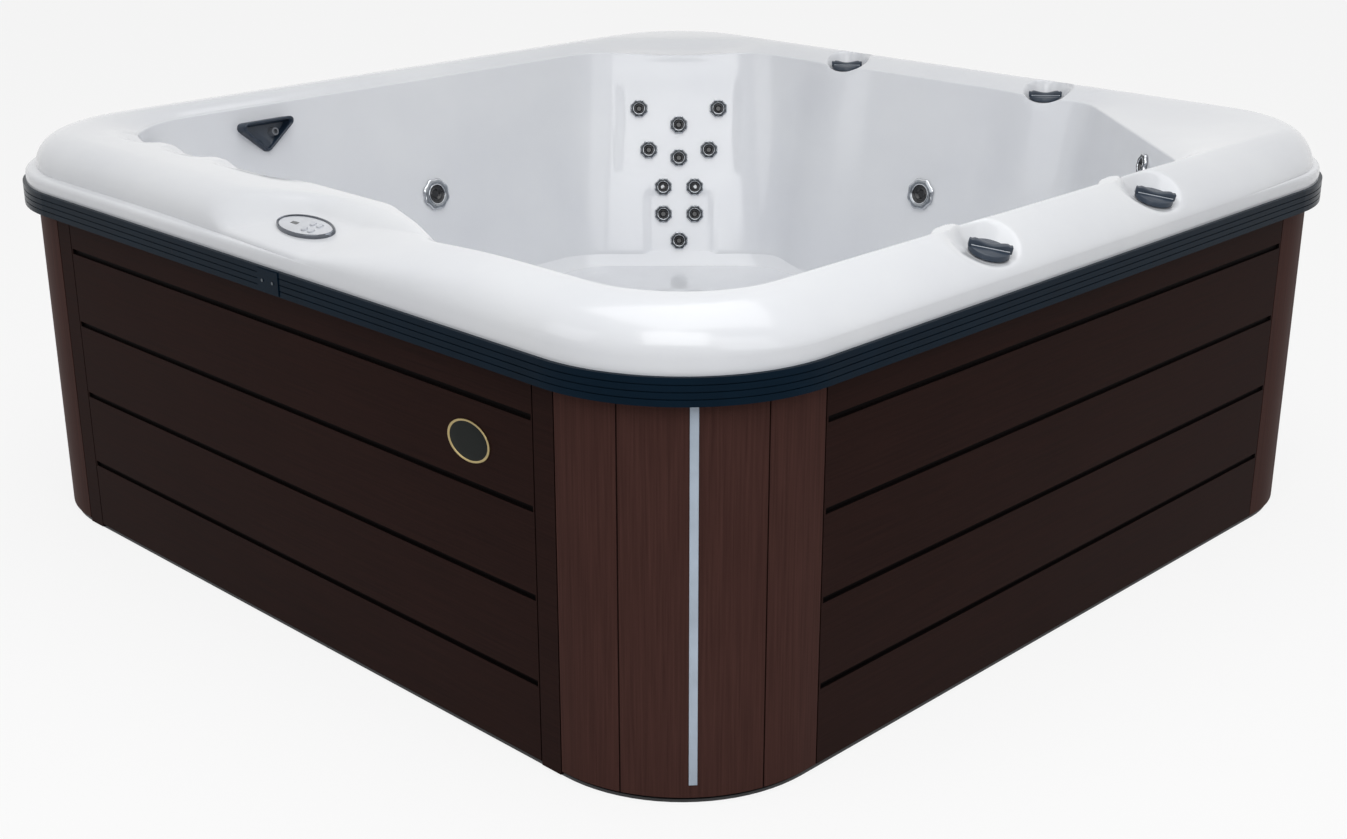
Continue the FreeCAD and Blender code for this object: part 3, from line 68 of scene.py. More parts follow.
TUB = "tub"
KNOBS = (
    "valve_knob_right_front",
    "valve_knob_right_back",
    "valve_knob_back_right",
    "valve_knob_back_left",
)
SKIRT_HALF = 1.140
SKIRT_CORNER = 0.310
CONTROL_AT: Triple = (0.045, -1.072, 0.868)
CONTROL_TILT = 15.0
TINY = 1e-6
UPRIGHT = Vector((0, 0, 1))
NORTH = Vector((0, 1, 0))
AS_MADE = Matrix()


class Slot(Enum):
    """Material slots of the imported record."""

    ACRYLIC = "acrylic"
    SKIRT = "skirt_brown"
    TRIM = "trim_dark"
    STRIP = "strip_pale"
    BRIGHT = "bright_metal"
    KNOB = "knob_dark"
    CONTROL = "control_pale"
    DISPLAY = "display_dark"
    BUTTON = "button_grey"
    FITTING = "fitting_grey"
    FILTER = "filter_media"
    LENS = "lens_clear"
    TRAY = "tray_black"
    TIMBER = "timber"
    MOTOR = "motor_paint"
    PUMP = "pump_black"
    STEEL = "steel"
    PIPE = "pipe_white"


class Shader:
    """Node material on Object coordinates, with helpers for its usual parts."""

    # Places of the factor, the two colours and the blend among the sockets of a mix node.
    mix_inputs: tuple[int, int, int] = (0, 6, 7)
    mix_output: int = 2

    def __init__(self, name: str) -> None:
        """Start a material with a principled shader.

        Args:
            name: Name of the material.
        """
        self.material = bpy.data.materials.new(name)
        self.material.use_nodes = True
        self.tree = self.material.node_tree
        self.surface = self.tree.nodes["Principled BSDF"]
        self.place = self.node("ShaderNodeTexCoord").outputs["Object"]

    def node(self, kind: str, **settings: object) -> bpy.types.Node:
        """Add a node and set its properties.

        Args:
            kind: Name of the node type.
            settings: Properties to set on the node.

        Returns:
            The new node.
        """
        made = self.tree.nodes.new(kind)
        for key, value in settings.items():
            setattr(made, key, value)
        return made

    def link(self, source: Socket, target: Socket) -> None:
        """Join an output to an input."""
        self.tree.links.new(source, target)

    def set(self, **values: object) -> None:
        """Set constant inputs of the surface; an underscore stands for a space."""
        for key, value in values.items():
            self.surface.inputs[key.replace("_", " ")].default_value = value

    def stretched(self, scale: Triple) -> Socket:
        """Object coordinates scaled along each axis.

        Args:
            scale: Factors along X, Y and Z.

        Returns:
            The scaled coordinates.
        """
        mapping = self.node("ShaderNodeMapping")
        mapping.inputs["Scale"].default_value = scale
        self.link(self.place, mapping.inputs["Vector"])
        return mapping.outputs["Vector"]

    def noise(self, scale: float, detail: float, stretch: Triple = (1, 1, 1)) -> Socket:
        """Noise value from 0 to 1.

        Args:
            scale: Waves in a metre.
            detail: Octaves of finer noise.
            stretch: Factors along X, Y and Z.

        Returns:
            The noise value.
        """
        noise = self.node("ShaderNodeTexNoise")
        noise.inputs["Scale"].default_value = scale
        noise.inputs["Detail"].default_value = detail
        self.link(self.stretched(stretch), noise.inputs["Vector"])
        return noise.outputs["Fac"]

    def maths(self, operation: str, first: Socket | float, second: Socket | float = 0.0) -> Socket:
        """Result of a maths node.

        Args:
            operation: Name of the operation.
            first: First value or socket.
            second: Second value or socket.

        Returns:
            The result.
        """
        node = self.node("ShaderNodeMath", operation=operation)
        for socket, value in zip(node.inputs, (first, second)):
            if isinstance(value, Socket):
                self.link(value, socket)
            else:
                socket.default_value = value
        return node.outputs["Value"]

    def ramp(self, value: Socket, stops: list[tuple[float, Triple]]) -> Socket:
        """Colour read from a value through stops.

        Args:
            value: Value from 0 to 1.
            stops: Position and colour of each stop, low to high.

        Returns:
            The colour.
        """
        node = self.node("ShaderNodeValToRGB")
        for element, (position, colour) in zip(node.color_ramp.elements, stops):
            element.position = position
            element.color = (*colour, 1.0)
        self.link(value, node.inputs["Fac"])
        return node.outputs["Color"]

    def mix(self, factor: Socket, first: Socket, second: Socket) -> Socket:
        """Blend of two colours.

        Args:
            factor: Share of the second colour.
            first: First colour.
            second: Second colour.

        Returns:
            The blended colour.
        """
        node = self.node("ShaderNodeMix", data_type="RGBA")
        for index, source in zip(self.mix_inputs, (factor, first, second)):
            self.link(source, node.inputs[index])
        return node.outputs[self.mix_output]

    def rough(self, value: Socket, low: float, high: float) -> None:
        """Spread the surface's roughness between two limits by a value.

        Args:
            value: Value from 0 to 1.
            low: Roughness at 0.
            high: Roughness at 1.
        """
        node = self.node("ShaderNodeMapRange")
        node.inputs["To Min"].default_value = low
        node.inputs["To Max"].default_value = high
        self.link(value, node.inputs["Value"])
        self.link(node.outputs["Result"], self.surface.inputs["Roughness"])

    def bump(self, height: Socket, strength: float, distance: float) -> None:
        """Raise the surface's normal by a height.

        Args:
            height: Height value.
            strength: Share of the effect.
            distance: Depth of a full step in metres.
        """
        node = self.node("ShaderNodeBump")
        node.inputs["Strength"].default_value = strength
        node.inputs["Distance"].default_value = distance
        self.link(height, node.inputs["Height"])
        self.link(node.outputs["Normal"], self.surface.inputs["Normal"])

    def colour(self, socket: Socket) -> None:
        """Join a colour to the surface's base colour."""
        self.link(socket, self.surface.inputs["Base Color"])


def shade(colour: Triple, share: float) -> Triple:
    """Scale a colour, held at or below white.

    Args:
        colour: Linear colour.
        share: Factor.

    Returns:
        The scaled colour.
    """
    return tuple(min(1.0, part * share) for part in colour)


@dataclass(frozen=True)
class AcrylicFinish:
    """Polished white acrylic with a faint pearl and a slight orange peel."""

    pearl: Triple = (0.722, 0.738, 0.775)
    bright: Triple = (0.772, 0.788, 0.815)

    def material(self) -> Paint:
        """Build the material.

        Returns:
            The material.
        """
        shader = Shader("white_acrylic")
        cloud = shader.noise(scale=3.5, detail=5.0)
        shader.colour(shader.ramp(cloud, [(0.3, self.pearl), (0.7, self.bright)]))
        shader.rough(shader.noise(scale=18.0, detail=3.0), low=0.16, high=0.24)
        shader.bump(shader.noise(scale=160.0, detail=2.0), strength=0.04, distance=0.001)
        shader.set(Coat_Weight=0.35, Coat_Roughness=0.06)
        return shader.material


@dataclass(frozen=True)
class BoardFinish:
    """Brown board with fine brushed grain; faces set back from the outside get a near-black painted shade for the
    shadow in the grooves.
    """

    name: str
    upright: bool
    light: Triple = (0.060, 0.0270, 0.0225)
    dark: Triple = (0.038, 0.0172, 0.0145)
    # Near-black colour painted into the grooves as their shade.
    groove_shade: Triple = (0.006, 0.0045, 0.0045)
    share: float = 1.0
    depth: float = 0.0012
    across_grain: float = 26.0
    along_grain: float = 0.6
    streak_share: float = 0.7

    def setback(self, shader: Shader) -> Socket:
        """Distance of a point behind the outside of the rounded square skirt.

        Args:
            shader: Material under way.

        Returns:
            The distance in metres.
        """
        parts = shader.node("ShaderNodeSeparateXYZ")
        shader.link(shader.place, parts.inputs["Vector"])
        straight = SKIRT_HALF - SKIRT_CORNER
        squares = []
        for axis in ("X", "Y"):
            reach = shader.maths("ABSOLUTE", parts.outputs[axis])
            leg = shader.maths("MAXIMUM", shader.maths("SUBTRACT", reach, straight), 0.0)
            squares.append(shader.maths("MULTIPLY", leg, leg))
        away = shader.maths("SQRT", shader.maths("ADD", *squares))
        return shader.maths("SUBTRACT", SKIRT_CORNER, away)

    def material(self) -> Paint:
        """Build the material.

        Returns:
            The material.
        """
        shader = Shader(self.name)
        level, height = self.across_grain, self.along_grain
        if not self.upright:
            level, height = height, level
        streaks = shader.noise(scale=9.0, detail=8.0, stretch=(level, level, height))
        patches = shader.noise(scale=2.2, detail=3.0)
        lines = shader.maths("MULTIPLY", streaks, self.streak_share)
        clouds = shader.maths("MULTIPLY", patches, 1 - self.streak_share)
        tones = [(0.32, shade(self.dark, self.share)), (0.68, shade(self.light, self.share))]
        board = shader.ramp(shader.maths("ADD", lines, clouds), tones)
        # Painted shade: faces set back in the grooves take a near-black colour for the shadow that falls in them.
        shaded_groove = shader.ramp(streaks, [(0.2, shade(self.groove_shade, 0.7)), (0.8, self.groove_shade)])
        sunk = shader.maths("GREATER_THAN", self.setback(shader), self.depth)
        shader.colour(shader.mix(sunk, board, shaded_groove))
        shader.rough(streaks, low=0.42, high=0.60)
        shader.bump(streaks, strength=0.25, distance=0.0008)
        shader.set(Specular_IOR_Level=0.02)
        return shader.material


@dataclass(frozen=True)
class PlasticFinish:
    """Moulded plastic or paint with a fine texture and slight patches."""

    name: str
    base: Triple
    low: float = 0.3
    high: float = 0.42
    grain: float = 420.0
    raised: float = 0.06
    coat: float = 0.0
    clear: float = 0.0
    shine: float = 0.5

    def material(self) -> Paint:
        """Build the material.

        Returns:
            The material.
        """
        shader = Shader(self.name)
        patches = shader.noise(scale=14.0, detail=4.0)
        tones = [(0.3, shade(self.base, 0.9)), (0.7, shade(self.base, 1.08))]
        shader.colour(shader.ramp(patches, tones))
        shader.rough(shader.noise(scale=60.0, detail=3.0), self.low, self.high)
        shader.bump(shader.noise(self.grain, detail=2.0), self.raised, distance=0.0006)
        shader.set(Coat_Weight=self.coat, Coat_Roughness=0.08, Transmission_Weight=self.clear)
        shader.set(Specular_IOR_Level=self.shine)
        return shader.material


@dataclass(frozen=True)
class MetalFinish:
    """Bright or brushed metal with fine wear."""

    name: str
    base: Triple
    low: float = 0.06
    high: float = 0.16

    def material(self) -> Paint:
        """Build the material.

        Returns:
            The material.
        """
        shader = Shader(self.name)
        wear = shader.noise(scale=90.0, detail=6.0)
        shader.colour(shader.ramp(wear, [(0.3, shade(self.base, 0.88)), (0.7, self.base)]))
        shader.rough(wear, self.low, self.high)
        shader.bump(shader.noise(scale=500.0, detail=2.0), strength=0.03, distance=0.0004)
        shader.set(Metallic=1.0)
        return shader.material


@dataclass(frozen=True)
class TimberFinish:
    """Pale sawn timber with rings and pores."""

    light: Triple = (0.52, 0.36, 0.20)
    dark: Triple = (0.34, 0.21, 0.11)

    def material(self) -> Paint:
        """Build the material.

        Returns:
            The material.
        """
        shader = Shader("sawn_timber")
        rings = shader.noise(scale=5.0, detail=8.0, stretch=(1.5, 1.5, 14.0))
        shader.colour(shader.ramp(rings, [(0.35, self.dark), (0.65, self.light)]))
        shader.rough(rings, low=0.6, high=0.8)
        shader.bump(rings, strength=0.3, distance=0.001)
        return shader.material


FINISHES = {
    Slot.ACRYLIC: AcrylicFinish(),
    Slot.SKIRT: BoardFinish("brown_board", upright=False, share=0.42),
    Slot.TRIM: PlasticFinish("dark_trim", (0.0019, 0.0098, 0.0203), 0.20, 0.30, shine=0.045),
    Slot.STRIP: PlasticFinish("pale_strip", (0.42, 0.49, 0.58), 0.25, 0.35, raised=0.03),
    Slot.BRIGHT: MetalFinish("bright_metal", (0.56, 0.58, 0.61)),
    Slot.KNOB: PlasticFinish("slate_plastic", (0.014, 0.026, 0.046), 0.28, 0.4),
    Slot.CONTROL: PlasticFinish("control_face", (0.62, 0.64, 0.68), 0.2, 0.3, raised=0.02, coat=0.3),
    Slot.DISPLAY: PlasticFinish("display_glass", (0.02, 0.026, 0.034), 0.06, 0.12, raised=0.01, coat=0.5),
    Slot.BUTTON: PlasticFinish("button_face", (0.56, 0.58, 0.62), 0.25, 0.35, raised=0.02),
    Slot.FITTING: PlasticFinish("fitting_plastic", (0.16, 0.17, 0.19), 0.32, 0.45),
    Slot.FILTER: PlasticFinish("filter_paper", (0.72, 0.72, 0.68), 0.8, 0.95, grain=260.0, raised=0.3),
    Slot.LENS: PlasticFinish("clear_lens", (0.80, 0.86, 0.90), 0.05, 0.12, raised=0.02, clear=0.7),
    Slot.TRAY: PlasticFinish("tray_plastic", (0.012, 0.012, 0.013), 0.5, 0.65, raised=0.2),
    Slot.TIMBER: TimberFinish(),
    Slot.MOTOR: PlasticFinish("motor_paint", (0.11, 0.13, 0.15), 0.35, 0.5, raised=0.1),
    Slot.PUMP: PlasticFinish("pump_plastic", (0.015, 0.015, 0.017), 0.35, 0.5),
    Slot.STEEL: MetalFinish("brushed_steel", (0.55, 0.56, 0.58), 0.18, 0.32),
    Slot.PIPE: PlasticFinish("pipe_plastic", (0.70, 0.70, 0.68), 0.3, 0.42),
}


class Paints:
    """All materials, built once: one for each slot and a few for single pieces."""

    # Lighter painted shade for the fine grooves of the corner panels.
    faint_groove_shade: Triple = (0.020, 0.0095, 0.0080)

    def __init__(self) -> None:
        """Build every material."""
        self.by_slot = {slot: finish.material() for slot, finish in FINISHES.items()}
        # Painted light: the corner panels take a lighter copy of the skirt board (share 1.15 against 0.42) for the
        # light that falls on the near corner.
        board = BoardFinish("lit_upright_brown_board", upright=True, groove_shade=self.faint_groove_shade, share=1.15)
        self.lit_upright_board = board.material()
        self.black = PlasticFinish("jet_black", (0.010, 0.011, 0.014), 0.16, 0.28, raised=0.03).material()
        # Painted reflection: near-black chrome for the small jets' faces, standing for polished chrome that
        # mirrors a dark room.
        self.dark_reflection_chrome = MetalFinish("dark_reflection_chrome", (0.045, 0.050, 0.056), 0.05, 0.12).material()
        self.soft_chrome = MetalFinish("soft_chrome", (0.30, 0.32, 0.345), 0.05, 0.12).material()
        self.bezel = MetalFinish("bezel_metal", (0.13, 0.14, 0.16), 0.06, 0.14).material()
        self.dull_steel = MetalFinish("dull_steel", (0.10, 0.115, 0.13), 0.28, 0.40).material()
        self.brass = MetalFinish("dull_brass", (0.42, 0.33, 0.16), 0.25, 0.4).material()
        self.badge = PlasticFinish("badge_field", (0.004, 0.006, 0.005), 0.34, 0.44, shine=0.10).material()
        # Painted highlight: pale strip under each knob's bar for the light caught along its foot.
        self.line = PlasticFinish("pale_highlight_line", (0.55, 0.58, 0.62), 0.3, 0.4, raised=0.02).material()

    def of(self, slot: Slot) -> Paint:
        """Material of a slot."""
        return self.by_slot[slot]


def show(name: str, data: bpy.types.ID) -> bpy.types.Object:
    """Put a mesh, lamp or camera into the scene as an object.

    Args:
        name: Name of the object.
        data: What the object shows.

    Returns:
        The new object.
    """
    made = bpy.data.objects.new(name, data)
    bpy.context.scene.collection.objects.link(made)
    return made


@dataclass
class Piece:
    """A new mesh piece on its way into the scene."""

    name: str
    body: str
    slot: Slot
    material: Paint
    sharp: float = 38.0

    def add(self, mesh: Mesh, place: Matrix = AS_MADE, replaces: tuple[str, ...] = ()) -> None:
        """Finish a bmesh as an object that rides on its body.

        Args:
            mesh: The modelled mesh, which is freed.
            place: Where the mesh goes.
            replaces: Nodes that the piece stands for.
        """
        bmesh.ops.transform(mesh, matrix=place, verts=mesh.verts)
        bmesh.ops.recalc_face_normals(mesh, faces=mesh.faces)
        data = bpy.data.meshes.new(self.name)
        mesh.to_mesh(data)
        mesh.free()
        data.shade_smooth()
        data.set_sharp_from_angle(angle=math.radians(self.sharp))
        data.materials.append(self.material)
        made = show(self.name, data)
        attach(made, self.body)
        if replaces:
            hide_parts(*replaces)
        log.info("%s on %s, %d faces", self.name, self.body, len(data.polygons))


def joint_place(child: str, up: Vector = UPRIGHT) -> Matrix:
    """Place of a joint: Z along its axis and Y as near to a given way up as it can be.

    Args:
        child: Body that the joint moves.
        up: Wanted direction of Y.

    Returns:
        The place as a matrix.
    """
    joint = next(row for row in frame["joints"] if row["child"] == child)
    out = Vector(joint["axis"]).normalized()
    rise = (up - out * up.dot(out)).normalized()
    return placed(Vector(joint["pos_m"]), rise, out)


def placed(at: Vector, rise: Vector, out: Vector) -> Matrix:
    """Place with Y along rise and Z along out.

    Args:
        at: Origin of the place.
        rise: Direction of Y.
        out: Direction of Z.

    Returns:
        The place as a matrix.
    """
    turn = Matrix((rise.cross(out), rise, out)).transposed()
    return Matrix.Translation(at) @ turn.to_4x4()


def on_right(knob: str) -> bool:
    """Tell whether a knob is on the right rim, not on the back one."""
    return knob.startswith("valve_knob_right")


def spun(profile: list[Pair] | Section, steps: int) -> Mesh:
    """Turn a profile of radius and height round Z.

    Args:
        profile: Radius and height of each point.
        steps: Steps in the full turn.

    Returns:
        The turned mesh.
    """
    mesh = bmesh.new()
    points = [mesh.verts.new((radius, 0.0, height)) for radius, height in profile]
    edges = [mesh.edges.new(pair) for pair in zip(points, points[1:])]
    bmesh.ops.spin(
        mesh,
        geom=points + edges,
        cent=(0, 0, 0),
        axis=(0, 0, 1),
        angle=2 * math.pi,
        steps=steps,
        use_merge=True,
        use_duplicate=False,
    )
    bmesh.ops.remove_doubles(mesh, verts=mesh.verts, dist=TINY)
    return mesh


def waved(mesh: Mesh, lobes: int, share: float, inner: float, outer: float) -> None:
    """Press even lobes into the outer part of a turned mesh.

    Args:
        mesh: Mesh to change.
        lobes: Lobes in the full turn.
        share: Depth of a valley as a share of the radius.
        inner: Radius where the wave starts.
        outer: Radius where the wave is full.
    """
    for vert in mesh.verts:
        reach = math.hypot(vert.co.x, vert.co.y)
        turn = math.atan2(vert.co.y, vert.co.x)
        weight = min(1.0, max(0.0, (reach - inner) / (outer - inner)))
        scale = 1 - share * weight * (1 + math.cos(lobes * turn)) / 2
        vert.co.x *= scale
        vert.co.y *= scale


def skinned(points: np.ndarray) -> Mesh:
    """Lay a closed skin over rings of points and fill its first and last ring.

    Args:
        points: Points by ring and by direction; the last direction is the first one again.

    Returns:
        The closed mesh.
    """
    rows = points.shape[0] - 1
    columns = points.shape[1] - 1
    mesh = bmesh.new()
    bmesh.ops.create_grid(mesh, x_segments=columns, y_segments=rows, size=1.0)
    for vert in mesh.verts:
        column = round((vert.co.x + 1) / 2 * columns)
        row = round((vert.co.y + 1) / 2 * rows)
        vert.co = points[row, column]
    bmesh.ops.remove_doubles(mesh, verts=mesh.verts, dist=TINY)
    bmesh.ops.holes_fill(mesh, edges=[edge for edge in mesh.edges if edge.is_boundary], sides=0)
    return mesh


def rounded(mesh: Mesh, edges: list[bmesh.types.BMEdge], offset: float, segments: int) -> None:
    """Round edges of a mesh.

    Args:
        mesh: Mesh to change.
        edges: Edges to round.
        offset: Size of the rounding.
        segments: Steps across it.
    """
    bmesh.ops.bevel(
        mesh,
        geom=edges,
        offset=offset,
        affect="EDGES",
        segments=segments,
        profile=0.5,
        material=-1,
    )


def shares(steps: int) -> np.ndarray:
    """Even shares up to 1, without the 0 at their start."""
    return np.linspace(0, 1, steps + 1)[1:]


def quarter(steps: int) -> np.ndarray:
    """Even angles of a quarter turn, without the 0 at their start."""
    return np.linspace(0, math.pi / 2, steps + 1)[1:]


def ease(value: np.ndarray) -> np.ndarray:
    """Smooth step of values from 0 to 1."""
    held = np.clip(value, 0, 1)
    return held * held * (3 - 2 * held)


def sink(points: np.ndarray, near: np.ndarray, floor: np.ndarray, reach: float) -> None:
    """Bring points down to a floor that lies below them, with a rounded change-over.

    Args:
        points: Points to move.
        near: Which points may move.
        floor: Height of the floor at each point.
        reach: Size of the rounding.
    """
    level = points[..., 2]
    share = np.clip(0.5 + 0.5 * (floor - level) / reach, 0, 1)
    least = floor * (1 - share) + level * share - reach * share * (1 - share)
    points[..., 2] = np.where(near, least, level)


@dataclass(frozen=True)
class Side:
    """Straight side of an outline: the way it faces, its distance and the corner that ends it."""

    angle: float
    distance: float
    corner: float


@dataclass(frozen=True)
class Outline:
    """Closed outline of straight sides joined by arcs, going round counter-clockwise."""

    sides: tuple[Side, ...]
    arc_points: int = 40
    side_points: int = 80

    def radii(self, offset: float, angles: np.ndarray) -> np.ndarray:
        """Distance of the outline from the middle in each direction.

        Args:
            offset: Distance by which every side moves outwards.
            angles: Directions in radians.

        Returns:
            The distances.
        """
        arcs = []
        for index, side in enumerate(self.sides):
            after = self.sides[(index + 1) % len(self.sides)]
            start = math.radians(side.angle)
            bend = (after.angle - side.angle + 180) % 360 - 180
            finish = start + math.radians(bend)
            hollow = math.copysign(side.corner, bend)
            rows = np.array([[math.cos(turn), math.sin(turn)] for turn in (start, finish)])
            centre = np.linalg.solve(rows, [side.distance - hollow, after.distance - hollow])
            turn = np.linspace(start, finish, self.arc_points)
            arcs.append(centre + (hollow + offset) * np.column_stack([np.cos(turn), np.sin(turn)]))
        share = np.linspace(0, 1, self.side_points)[1:-1, None]
        runs = []
        for index, arc in enumerate(arcs):
            runs += [arcs[index - 1][-1] * (1 - share) + arc[0] * share, arc]
        points = np.concatenate(runs)
        around = np.arctan2(points[:, 1], points[:, 0])
        order = np.argsort(around)
        reach = np.hypot(points[:, 0], points[:, 1])
        return np.interp(angles, around[order], reach[order], period=2 * math.pi)


@dataclass(frozen=True)
class ShellSizes:
    """Sizes that the parts of the shell share."""

    flange_bottom: float = 0.806
    flange_top: float = 0.836
    wall_top: float = 0.880
    rim_top: float = 0.914
    bench: float = 0.300
    seat_cove: float = 0.060
    far_recline: float = 0.162
    corner_middle: float = 0.026
    shelf_wall: float = 0.925

    @property
    def wall_foot(self) -> float:
        """Height where the reclined wall ends."""
        return self.bench + self.seat_cove


@dataclass(frozen=True)
class Relief:
    """Form that is pressed into the visible skin of the shell."""

    sizes: ShellSizes

    def press(self, points: np.ndarray) -> None:
        """Move the points that the form reaches.

        Args:
            points: Points of the visible skin by ring and direction, changed in place.
        """
        raise NotImplementedError


@dataclass(frozen=True)
class JetPanel(Relief):
    """Jet panel of the far corner, set back into its wall and narrower at its foot."""

    depth: float = 0.004
    edge: float = 0.008
    foot_edge: float = 0.50
    half: float = 0.175
    foot_half: float = 0.100
    top: float = 0.040
    top_fade: float = 0.090
    waist: float = 0.330
    taper: float = 0.080
    least_reach: float = 0.6
    seat_clear: float = 0.02

    def press(self, points: np.ndarray) -> None:
        """Set the panel back.

        Args:
            points: Points of the visible skin by ring and direction, changed in place.
        """
        sizes = self.sizes
        outward = np.array([-1, 1, 0]) / math.sqrt(2)
        side = np.array([1, 1, 0]) / math.sqrt(2)
        tilt = math.atan2(sizes.far_recline, sizes.wall_top - sizes.wall_foot)
        across = points @ side - sizes.corner_middle
        drop = (sizes.wall_top - points[..., 2]) / math.cos(tilt)
        taper = ease((drop - self.waist) / self.taper)
        half = self.half + (self.foot_half - self.half) * taper
        edge = self.edge + self.foot_edge * taper * (1 - taper)
        inside = ease((half - np.abs(across)) / edge) * ease((drop - self.top) / self.top_fade)
        on_wall = (points @ outward > self.least_reach) & (points[..., 2] > sizes.bench + self.seat_clear)
        back = self.depth * inside * on_wall
        points += back[..., None] * (outward * math.cos(tilt) - np.array([0, 0, math.sin(tilt)]))


@dataclass(frozen=True)
class KnobDishes(Relief):
    """Dishes of the knobs in the rim, each open to the side that it faces."""

    radius: float = 0.0415
    reach: float = 0.240
    soft: float = 0.008
    right_slopes: Pair = (0.28, 1.3)
    back_slopes: Pair = (0.28, 3.4)
    right_open: Pair = (0.80, -0.60)
    back_open: Pair = (0.50, -0.87)

    def press(self, points: np.ndarray) -> None:
        """Press the dishes in.

        Args:
            points: Points of the visible skin by ring and direction, changed in place.
        """
        for name in KNOBS:
            place = joint_place(name)
            spot = place.translation
            out = place.to_3x3().col[2]
            east = points[..., 0] - spot.x
            north = points[..., 1] - spot.y
            floor = spot.z - (out.x * east + out.y * north) / out.z
            right = on_right(name)
            way = self.right_open if right else self.back_open
            low, high = self.right_slopes if right else self.back_slopes
            away = np.hypot(east, north)
            facing = (east * way[0] + north * way[1]) / np.maximum(away, TINY)
            slope = low + (high - low) * (1 - facing) / 2
            dish = floor + slope * np.maximum(0, away - self.radius)
            near = (away < self.reach) & (points[..., 2] > self.sizes.flange_top)
            sink(points, near, dish, self.soft)


@dataclass(frozen=True)
class ControlSeat(Relief):
    """Sloping seat of the control panel in the front rim."""

    crease: Pair = (-0.100, -1.116)
    crease_way: float = 131.0
    flank: float = 0.95
    back: float = 0.046
    wall: float = 0.50
    right: float = 0.110
    ramp: float = 0.13
    soft: float = 0.026
    front: float = -0.6
    flange_clear: float = 0.004

    def press(self, points: np.ndarray) -> None:
        """Press the seat in.

        Args:
            points: Points of the visible skin by ring and direction, changed in place.
        """
        x, y, z = CONTROL_AT
        north = points[..., 1] - y
        floor = z + math.tan(math.radians(CONTROL_TILT)) * north
        way = math.radians(self.crease_way)
        crease = points[..., :2] - np.array(self.crease)
        left = np.maximum(0, crease @ np.array([math.cos(way), math.sin(way)]))
        behind = np.maximum(0, north - self.back)
        right = np.maximum(0, points[..., 0] - x - self.right)
        seat = floor + np.hypot(self.flank * left, self.wall * behind) + self.ramp * right
        near = (points[..., 1] < self.front) & (points[..., 2] > self.sizes.flange_top + self.flange_clear)
        sink(points, near, seat, self.soft)


@dataclass(frozen=True)
class ShelfEdge(Relief):
    """Inner edge of the shelf's deck, lowered between soft bumps."""

    dip: float = 0.012
    # Middle and half width of each bump, and the line that their tops lie on.
    bumps: Section = ((-0.682, 0.060), (-0.472, 0.054))
    bump_line: float = -0.992
    bump_spread: float = 1.3
    # Where the dip starts and the length over which it fades.
    outer: Pair = (-0.990, 0.055)
    left: Pair = (-0.86, 0.08)
    right: Pair = (-0.12, 0.20)
    below: Pair = (0.040, 0.045)
    inner: float = -0.88

    def press(self, points: np.ndarray) -> None:
        """Lower the edge.

        Args:
            points: Points of the visible skin by ring and direction, changed in place.
        """
        x = points[..., 0]
        y = points[..., 1]
        sunk = ease((y - self.outer[0]) / self.outer[1])
        sunk = sunk * ease((x - self.left[0]) / self.left[1]) * ease((self.right[0] - x) / self.right[1])
        for middle, half in self.bumps:
            sunk = sunk * (1 - ease(self.bump_spread - np.abs(x - middle) / half))
        high = ease((points[..., 2] - self.sizes.wall_top + self.below[0]) / self.below[1])
        points[..., 2] -= self.dip * sunk * high * (y < self.inner)


@dataclass(frozen=True)
class CornerDip(Relief):
    """Shallow lens-shaped dip in the deck of the far corner."""

    dip: float = 0.016
    reach: float = 1.215
    half: float = 0.250
    width: float = 0.075
    spread: float = 1.2

    def press(self, points: np.ndarray) -> None:
        """Press the dip in.

        Args:
            points: Points of the visible skin by ring and direction, changed in place.
        """
        reach = (points[..., 1] - points[..., 0]) / math.sqrt(2)
        across = (points[..., 0] + points[..., 1]) / math.sqrt(2) - self.sizes.corner_middle
        away = np.hypot(across / self.half, (reach - self.reach) / self.width)
        near = points[..., 2] > self.sizes.wall_top
        points[..., 2] -= self.dip * np.where(near, ease(self.spread - away), 0)


@dataclass(frozen=True)
class RimBumps(Relief):
    """Small bumps on the inner edge of the right rim, one beside each dish."""

    spots: Section = ((1.030, -0.345), (1.030, 0.212))
    rise: float = 0.012
    half_across: float = 0.030
    half_along: float = 0.040
    spread: float = 1.4
    below: Pair = (0.015, 0.020)

    def press(self, points: np.ndarray) -> None:
        """Raise the bumps, no higher than the rim.

        Args:
            points: Points of the visible skin by ring and direction, changed in place.
        """
        for x, y in self.spots:
            across = (points[..., 0] - x) / self.half_across
            along = (points[..., 1] - y) / self.half_along
            high = ease((points[..., 2] - self.sizes.wall_top + self.below[0]) / self.below[1])
            points[..., 2] += self.rise * ease(self.spread - np.hypot(across, along)) * high
        points[..., 2] = np.minimum(points[..., 2], self.sizes.rim_top)


